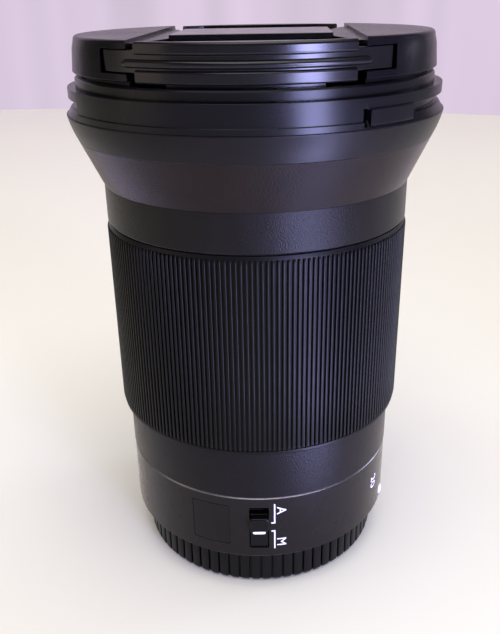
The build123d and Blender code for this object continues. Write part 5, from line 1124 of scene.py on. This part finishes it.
class LENS_OT_hood_ring(bpy.types.Operator):
    """Make the hood bayonet ring with eased edges, and the land beside each of its stop slots"""

    bl_idname = "lens.hood_ring"
    bl_label = "Hood ring"

    def execute(self, context):
        plastic = material_of(moulded_polycarbonate, "moulded_hood_ring", finishes().bayonet, roughness=0.24)
        mesh = eased_copy("hood_ring_eased", "hood_ring", sizes().hood_round / MM)
        add_piece("hood_ring_eased", mesh, plastic, "barrel", "hood_ring_plastic", "hood_ring")
        root, reach, height = 39.6, 41.8, 3.15
        foot = span("hood_ring")[0] + 0.5
        section = [(root, foot), (reach, foot), (reach, foot + height), (root, foot + height)]
        first, last = 30.7, 47.0
        shape = bmesh.new()
        for turn in (0, 180):
            arc_bar(shape, softened(section, 0.25), evenly(turn + first, turn + last))
        lands = mesh_of("hood_ring_lands", shape)
        add_piece("hood_ring_lands", lands, plastic, "barrel", "hood_ring_plastic")
        return {"FINISHED"}


class LENS_OT_filter_ring(bpy.types.Operator):
    """Finish the filter ring"""

    bl_idname = "lens.filter_ring"
    bl_label = "Filter ring"

    def execute(self, context):
        # The ring is metal, and its black coat has the sheen and grain of the moulded pieces beside it
        black = material_of(moulded_polycarbonate, "black_filter_ring", finishes().bayonet, roughness=0.24)
        dress(black, "filter_ring")
        return {"FINISHED"}


class LENS_OT_front_cap(bpy.types.Operator):
    """Make the front cap and its bare centre plate"""

    bl_idname = "lens.front_cap"
    bl_label = "Front cap"

    def execute(self, context):
        plastic = material_of(moulded_polycarbonate, "moulded_front_cap", finishes().cap, roughness=0.24)
        plate = material_of(bare_nameplate, "bare_cap_plate", finishes().cap_plate)
        body = eased_copy("cap_body_eased", "cap_body", sizes().edge_round / MM)
        add_piece("cap_body_eased", body, plastic, "front_cap", "cap_plastic", "cap_body")
        centre = eased_copy("cap_plate_eased", "cap_plate", sizes().fine_round / MM)
        add_piece("cap_plate_eased", centre, plate, "front_cap", "cap_plate_plastic", "cap_plate")
        return {"FINISHED"}


class LENS_OT_cap_latches(bpy.types.Operator):
    """Make the two latches of the front cap with eased edges"""

    bl_idname = "lens.cap_latches"
    bl_label = "Cap latches"

    def execute(self, context):
        plastic = material_of(moulded_polycarbonate, "moulded_latch", finishes().cap, roughness=0.22,
                              gloss=0.3)
        for node, turn in (("near_latch", 0), ("far_latch", 180)):
            mesh = eased(node + "_grip", self.latch(node), sizes().fine_round / MM)
            mesh.transform(Matrix.Rotation(math.radians(CAP_TURN + turn), 4, "Z"))
            add_piece(node + "_grip", mesh, plastic, node, "cap_plastic", node)
        return {"FINISHED"}

    def latch(self, node):
        """The latch facing -Y: its front, rib, tongues, grip, leg and rail."""
        top = span(node)[1]
        foot = top - 7.3
        face, wall, groove = 39.6, 1.8, 0.5
        inner, floor = face - wall, face - groove
        shape = bmesh.new()
        half = half_angle(20.3, face)
        shoulder = face - 0.2
        front = [(inner, foot), (face - 0.25, foot), (face, foot + 0.35), (face, foot + 2.05),
                 (shoulder, foot + 2.35), (floor, foot + 2.4), (floor, foot + 5.1), (shoulder, foot + 5.2),
                 (face, foot + 5.5), (face, foot + 6.7), (face - 0.12, foot + 7.05), (face - 0.45, top),
                 (inner, top)]
        arc_bar(shape, softened(front, 0.2), evenly(-half, half))
        self.finger_rib(shape, face - groove, foot + 3.5, half_angle(22.8, face))
        tongue_wall, tongue_foot, tongue_top = 2.0, foot + 1.8, foot + 5.8
        tongue = [(face - tongue_wall, tongue_foot), (floor, tongue_foot), (floor, tongue_top),
                  (face - tongue_wall, tongue_top)]
        first, last = half_angle(20.0, face), half_angle(27.4, face)
        for side in ((-last, -first), (first, last)):
            arc_bar(shape, softened(tongue, 0.15), evenly(*side))
        half_width, grip_reach, grip_back, lid = 16.0, 38.2, 34.8, 0.05
        bend = [(grip_reach * math.sin(math.radians(bearing)), -grip_reach * math.cos(math.radians(bearing)))
                for bearing in range(-24, 25, 2)]
        grip = [(-half_width, -grip_back), *(point for point in bend if abs(point[0]) < half_width),
                (half_width, -grip_back)]
        slab(shape, grip, foot + lid, top - lid)
        leg_inner, leg_neck, leg_reach, leg_length, lap = 36.3, 37.0, 38.05, 4.5, 0.04
        leg = [(leg_inner, foot - leg_length), (leg_reach, foot - leg_length), (leg_reach, foot - 1.0),
               (leg_neck, foot - 0.9), (leg_neck, foot + lap), (leg_inner, foot + lap)]
        leg_half = half_angle(15.0, leg_reach)
        arc_bar(shape, leg, evenly(-leg_half, leg_half))
        rail_end, rail_root, rail_foot, rail_top = 13.5, 35.5, foot + 1.7, foot + 4.7
        rail = [(-half_width, -rail_end), (-half_width, -rail_root), (half_width, -rail_root),
                (half_width, -rail_end)]
        slab(shape, rail, rail_foot, rail_top)
        return mesh_of(node, shape)

    def finger_rib(self, shape, radius, height, half):
        """The rounded rib along the latch's groove, which tapers off at its ends."""
        proud, half_height = 0.95, 0.8
        turns = [math.radians(angle) for angle in range(-90, 91, 15)]
        section = [(radius + proud * math.cos(turn), height + half_height * math.sin(turn))
                   for turn in turns]
        ends = ((0.0, 0.35), (0.25, 0.7), (0.7, 0.92))
        whole = half - 1.3
        stations = [(lead - half, share) for lead, share in ends] + evenly(-whole, whole)
        stations += [(half - lead, share) for lead, share in reversed(ends)]
        arc_bar(shape, section, stations)


class LENS_OT_latch_springs(bpy.types.Operator):
    """Wind the coil springs behind the latches; the real springs shorten as the latches go in"""

    bl_idname = "lens.latch_springs"
    bl_label = "Latch springs"

    def execute(self, context):
        pedestal, rail, reach = 9.1, 13.4, 8.0
        for node, latch, turn in (("near_springs", "near_latch", 0), ("far_springs", "far_latch", 180)):
            shape = bmesh.new()
            for side in (-reach, reach):
                self.coil(shape, side, pedestal, rail)
            mesh = mesh_of(node + "_coils", shape)
            mesh.materials.append(rod_steel())
            foot, top, _ = span(node)
            place = Matrix.Rotation(math.radians(CAP_TURN + turn), 4, "Z")
            place.translation = Vector((0, 0, (foot + top) / 2 * MM))
            mesh.transform(place)
            made = loose_object(node + "_coils", mesh)
            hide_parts(node)
            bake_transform(made)
        return {"FINISHED"}

    def coil(self, shape, side, first, last):
        """One coil along -Y, wound from the pedestal to the rail."""
        wire, middle, turns, steps, sides = 0.125, 1.275, 3, 24, 8
        rings = []
        for step in range(turns * steps + 1):
            angle = 2 * math.pi * step / steps
            outward = Vector((math.cos(angle), 0, math.sin(angle)))
            depth = first + wire + (last - first - 2 * wire) * step / (turns * steps)
            centre = Vector((side, -depth, 0)) + outward * middle
            ring = []
            for corner in range(sides):
                around = 2 * math.pi * corner / sides
                point = centre + outward * wire * math.cos(around) + Vector((0, wire * math.sin(around), 0))
                ring.append(shape.verts.new(point * MM))
            rings.append(ring)
        loft(shape, rings)


class LENS_OT_stage(bpy.types.Operator):
    """Set up the table, the curtain, the light and the camera"""

    bl_idname = "lens.stage"
    bl_label = "Stage"

    def execute(self, context):
        self.make_table()
        self.make_curtain()
        self.make_room_light()
        setup = studio()
        far_share = 0.6
        # Places and sizes of the lights are in metres, and a narrow spread keeps a light off the table
        self.add_softbox("window_light", setup.window_power, setup.window,
                         place=(0.22, -0.36, 0.112), size=(0.12, 0.2), aim_height=0.112, spread=44)
        self.add_table_glare("near_table_glare", setup.glare_level, near=0.09, far=0.26, width=0.04)
        self.add_table_glare("far_table_glare", setup.glare_level * far_share,
                             near=0.26, far=0.8, width=0.13)
        self.add_softbox("side_window", setup.side_power, setup.side,
                         place=(0.247, 0.087, 0.102), size=(0.1, 0.1), aim_height=0.03, spread=30)
        self.add_softbox("ceiling_light", setup.ceiling_power, setup.lamp,
                         place=(0.1, -0.3, 1.4), size=(1.4, 1.4))
        self.add_softbox("warm_fill", setup.fill_power, setup.fill, place=(-0.8, -0.3, 0.3), size=(0.5, 0.6))
        self.add_camera()
        context.scene.view_settings.view_transform = "Standard"
        return {"FINISHED"}

    def stage_piece(self, name, shape, material):
        """A piece of the stage, which is no part of the lens."""
        mesh = bpy.data.meshes.new(name)
        shape.to_mesh(mesh)
        shape.free()
        mesh.materials.append(material)
        loose_object(name, mesh)

    def make_table(self):
        """A round table top."""
        middle = Matrix.Translation((-0.29, -0.6, 0))
        reach = studio().table_reach
        shape = bmesh.new()
        bmesh.ops.create_circle(shape, cap_ends=True, segments=256, radius=reach, matrix=middle)
        self.stage_piece("table_top", shape, material_of(table_laminate, "pale_laminate", studio().table))

    def make_curtain(self):
        """A curtain in soft folds, hung in an arc beyond the table; its sizes are in metres."""
        reach, foot, top, half_arc, columns = 0.98, -0.4, 0.9, 50, 240
        fold, fold_rate, drift, drift_rate = 0.012, 46, 0.006, 19
        shape = bmesh.new()
        rows = []
        for height in (foot, top):
            row = []
            for step in range(columns + 1):
                bearing = math.radians(-half_arc + 2 * half_arc * step / columns)
                hang = reach + fold * math.sin(bearing * fold_rate)
                hang += drift * math.sin(bearing * drift_rate + 1)
                row.append(shape.verts.new((hang * math.sin(bearing), hang * math.cos(bearing), height)))
            rows.append(row)
        for step in range(columns):
            face = shape.faces.new((rows[0][step], rows[0][step + 1], rows[1][step + 1], rows[1][step]))
            face.smooth = True
        self.stage_piece("curtain", shape, material_of(curtain_cloth, "sheer_curtain", studio().curtain))

    def make_room_light(self):
        """Even light from the whole room; the camera sees the curtain's colour beyond the stage."""
        world = bpy.data.worlds.new("room")
        bpy.context.scene.world = world
        world.use_nodes = True
        tree = world.node_tree
        tree.nodes.clear()
        room = add_node(tree, "ShaderNodeBackground",
                        {"Color": (*studio().sky, 1), "Strength": studio().room_level})
        seen = add_node(tree, "ShaderNodeBackground", {"Color": (*studio().curtain, 1), "Strength": 1.0})
        path = add_node(tree, "ShaderNodeLightPath")
        mixed = add_node(tree, "ShaderNodeMixShader",
                         {0: path.outputs["Is Camera Ray"], 1: room.outputs[0], 2: seen.outputs[0]})
        add_node(tree, "ShaderNodeOutputWorld", {"Surface": mixed.outputs[0]})

    def add_light(self, name, power, colour, place, size):
        """A flat rectangular light."""
        lamp = bpy.data.lights.new(name, "AREA")
        lamp.shape = "RECTANGLE"
        lamp.size, lamp.size_y = size
        lamp.energy = power
        lamp.color = colour
        made = loose_object(name, lamp)
        made.location = place
        return made

    def add_softbox(self, name, power, colour, place, size, aim_height=0.07, spread=180):
        """A soft light aimed at the lens."""
        made = self.add_light(name, power, colour, place, size)
        made.data.spread = math.radians(spread)
        aim = Vector((0, 0, aim_height)) - Vector(place)
        made.rotation_euler = aim.to_track_quat("-Z", "Y").to_euler()

    def add_table_glare(self, name, level, near, far, width):
        """The window's glare on the table before the lens: a strip that shines up and that only the lens
        mirrors, because the camera doesn't see it."""
        bearing = math.radians(38)
        lift = 0.002
        reach = (near + far) / 2
        place = (reach * math.sin(bearing), -reach * math.cos(bearing), lift)
        power = level * math.pi * width * (far - near)
        made = self.add_light(name, power, studio().window, place, (width, far - near))
        made.rotation_euler = (math.pi, 0, bearing)
        made.visible_camera = False

    def add_camera(self):
        """The camera, where the photograph was taken from."""
        setup = studio()
        camera = bpy.data.cameras.new("camera")
        camera.lens = setup.focal_length
        camera.sensor_width = 36
        camera.clip_start = 0.01
        made = loose_object("camera", camera)
        turn = Matrix.Rotation(setup.camera_turn, 4, "Z")
        tilt = Matrix.Rotation(math.radians(90) - setup.camera_tilt, 4, "X")
        roll = Matrix.Rotation(setup.camera_roll, 4, "Z")
        place = Matrix.Translation((0, -setup.camera_distance, setup.camera_height))
        made.matrix_world = place @ turn @ tilt @ roll
        bpy.context.scene.camera = made


class LENS_PT_pieces(bpy.types.Panel):
    """Lists the pieces of the lens, its sizes and its colours"""

    bl_idname = "LENS_PT_pieces"
    bl_label = "Wide-angle prime lens"
    bl_space_type = "VIEW_3D"
    bl_region_type = "UI"
    bl_category = "Lens"

    def draw(self, context):
        for operator in OPERATORS:
            self.layout.operator(operator.bl_idname)
        for group in (sizes(), finishes(), studio()):
            box = self.layout.box()
            for name in group.__annotations__:
                box.prop(group, name)


OPERATORS = (
    LENS_OT_inner_works,
    LENS_OT_glass,
    LENS_OT_mount,
    LENS_OT_screws,
    LENS_OT_rear_cap,
    LENS_OT_rear_barrel,
    LENS_OT_badge_plate,
    LENS_OT_mode_switch,
    LENS_OT_marks,
    LENS_OT_plain_band,
    LENS_OT_control_ring,
    LENS_OT_front_barrel,
    LENS_OT_hood_ring,
    LENS_OT_filter_ring,
    LENS_OT_front_cap,
    LENS_OT_cap_latches,
    LENS_OT_latch_springs,
    LENS_OT_stage,
)
GROUPS = (("lens_sizes", LensSizes), ("lens_finishes", LensFinishes), ("lens_studio", StudioSettings))


def register():
    """Registers the sizes and settings, the operators and the panel."""
    for name, group in GROUPS:
        bpy.utils.register_class(group)
        setattr(bpy.types.Scene, name, bpy.props.PointerProperty(type=group))
    for operator in OPERATORS:
        bpy.utils.register_class(operator)
    bpy.utils.register_class(LENS_PT_pieces)


def unregister():
    """Takes out what register put in, in the opposite order."""
    bpy.utils.unregister_class(LENS_PT_pieces)
    for operator in reversed(OPERATORS):
        bpy.utils.unregister_class(operator)
    for name, group in reversed(GROUPS):
        delattr(bpy.types.Scene, name)
        bpy.utils.unregister_class(group)


def main():
    """Makes the lens and the stage."""
    register()
    bpy.ops.lens.inner_works()
    bpy.ops.lens.glass()
    bpy.ops.lens.mount()
    bpy.ops.lens.screws()
    bpy.ops.lens.rear_cap()
    bpy.ops.lens.rear_barrel()
    bpy.ops.lens.badge_plate()
    bpy.ops.lens.mode_switch()
    bpy.ops.lens.marks()
    bpy.ops.lens.plain_band()
    bpy.ops.lens.control_ring()
    bpy.ops.lens.front_barrel()
    bpy.ops.lens.hood_ring()
    bpy.ops.lens.filter_ring()
    bpy.ops.lens.front_cap()
    bpy.ops.lens.cap_latches()
    bpy.ops.lens.latch_springs()
    bpy.ops.lens.stage()


if __name__ == "__main__":
    main()
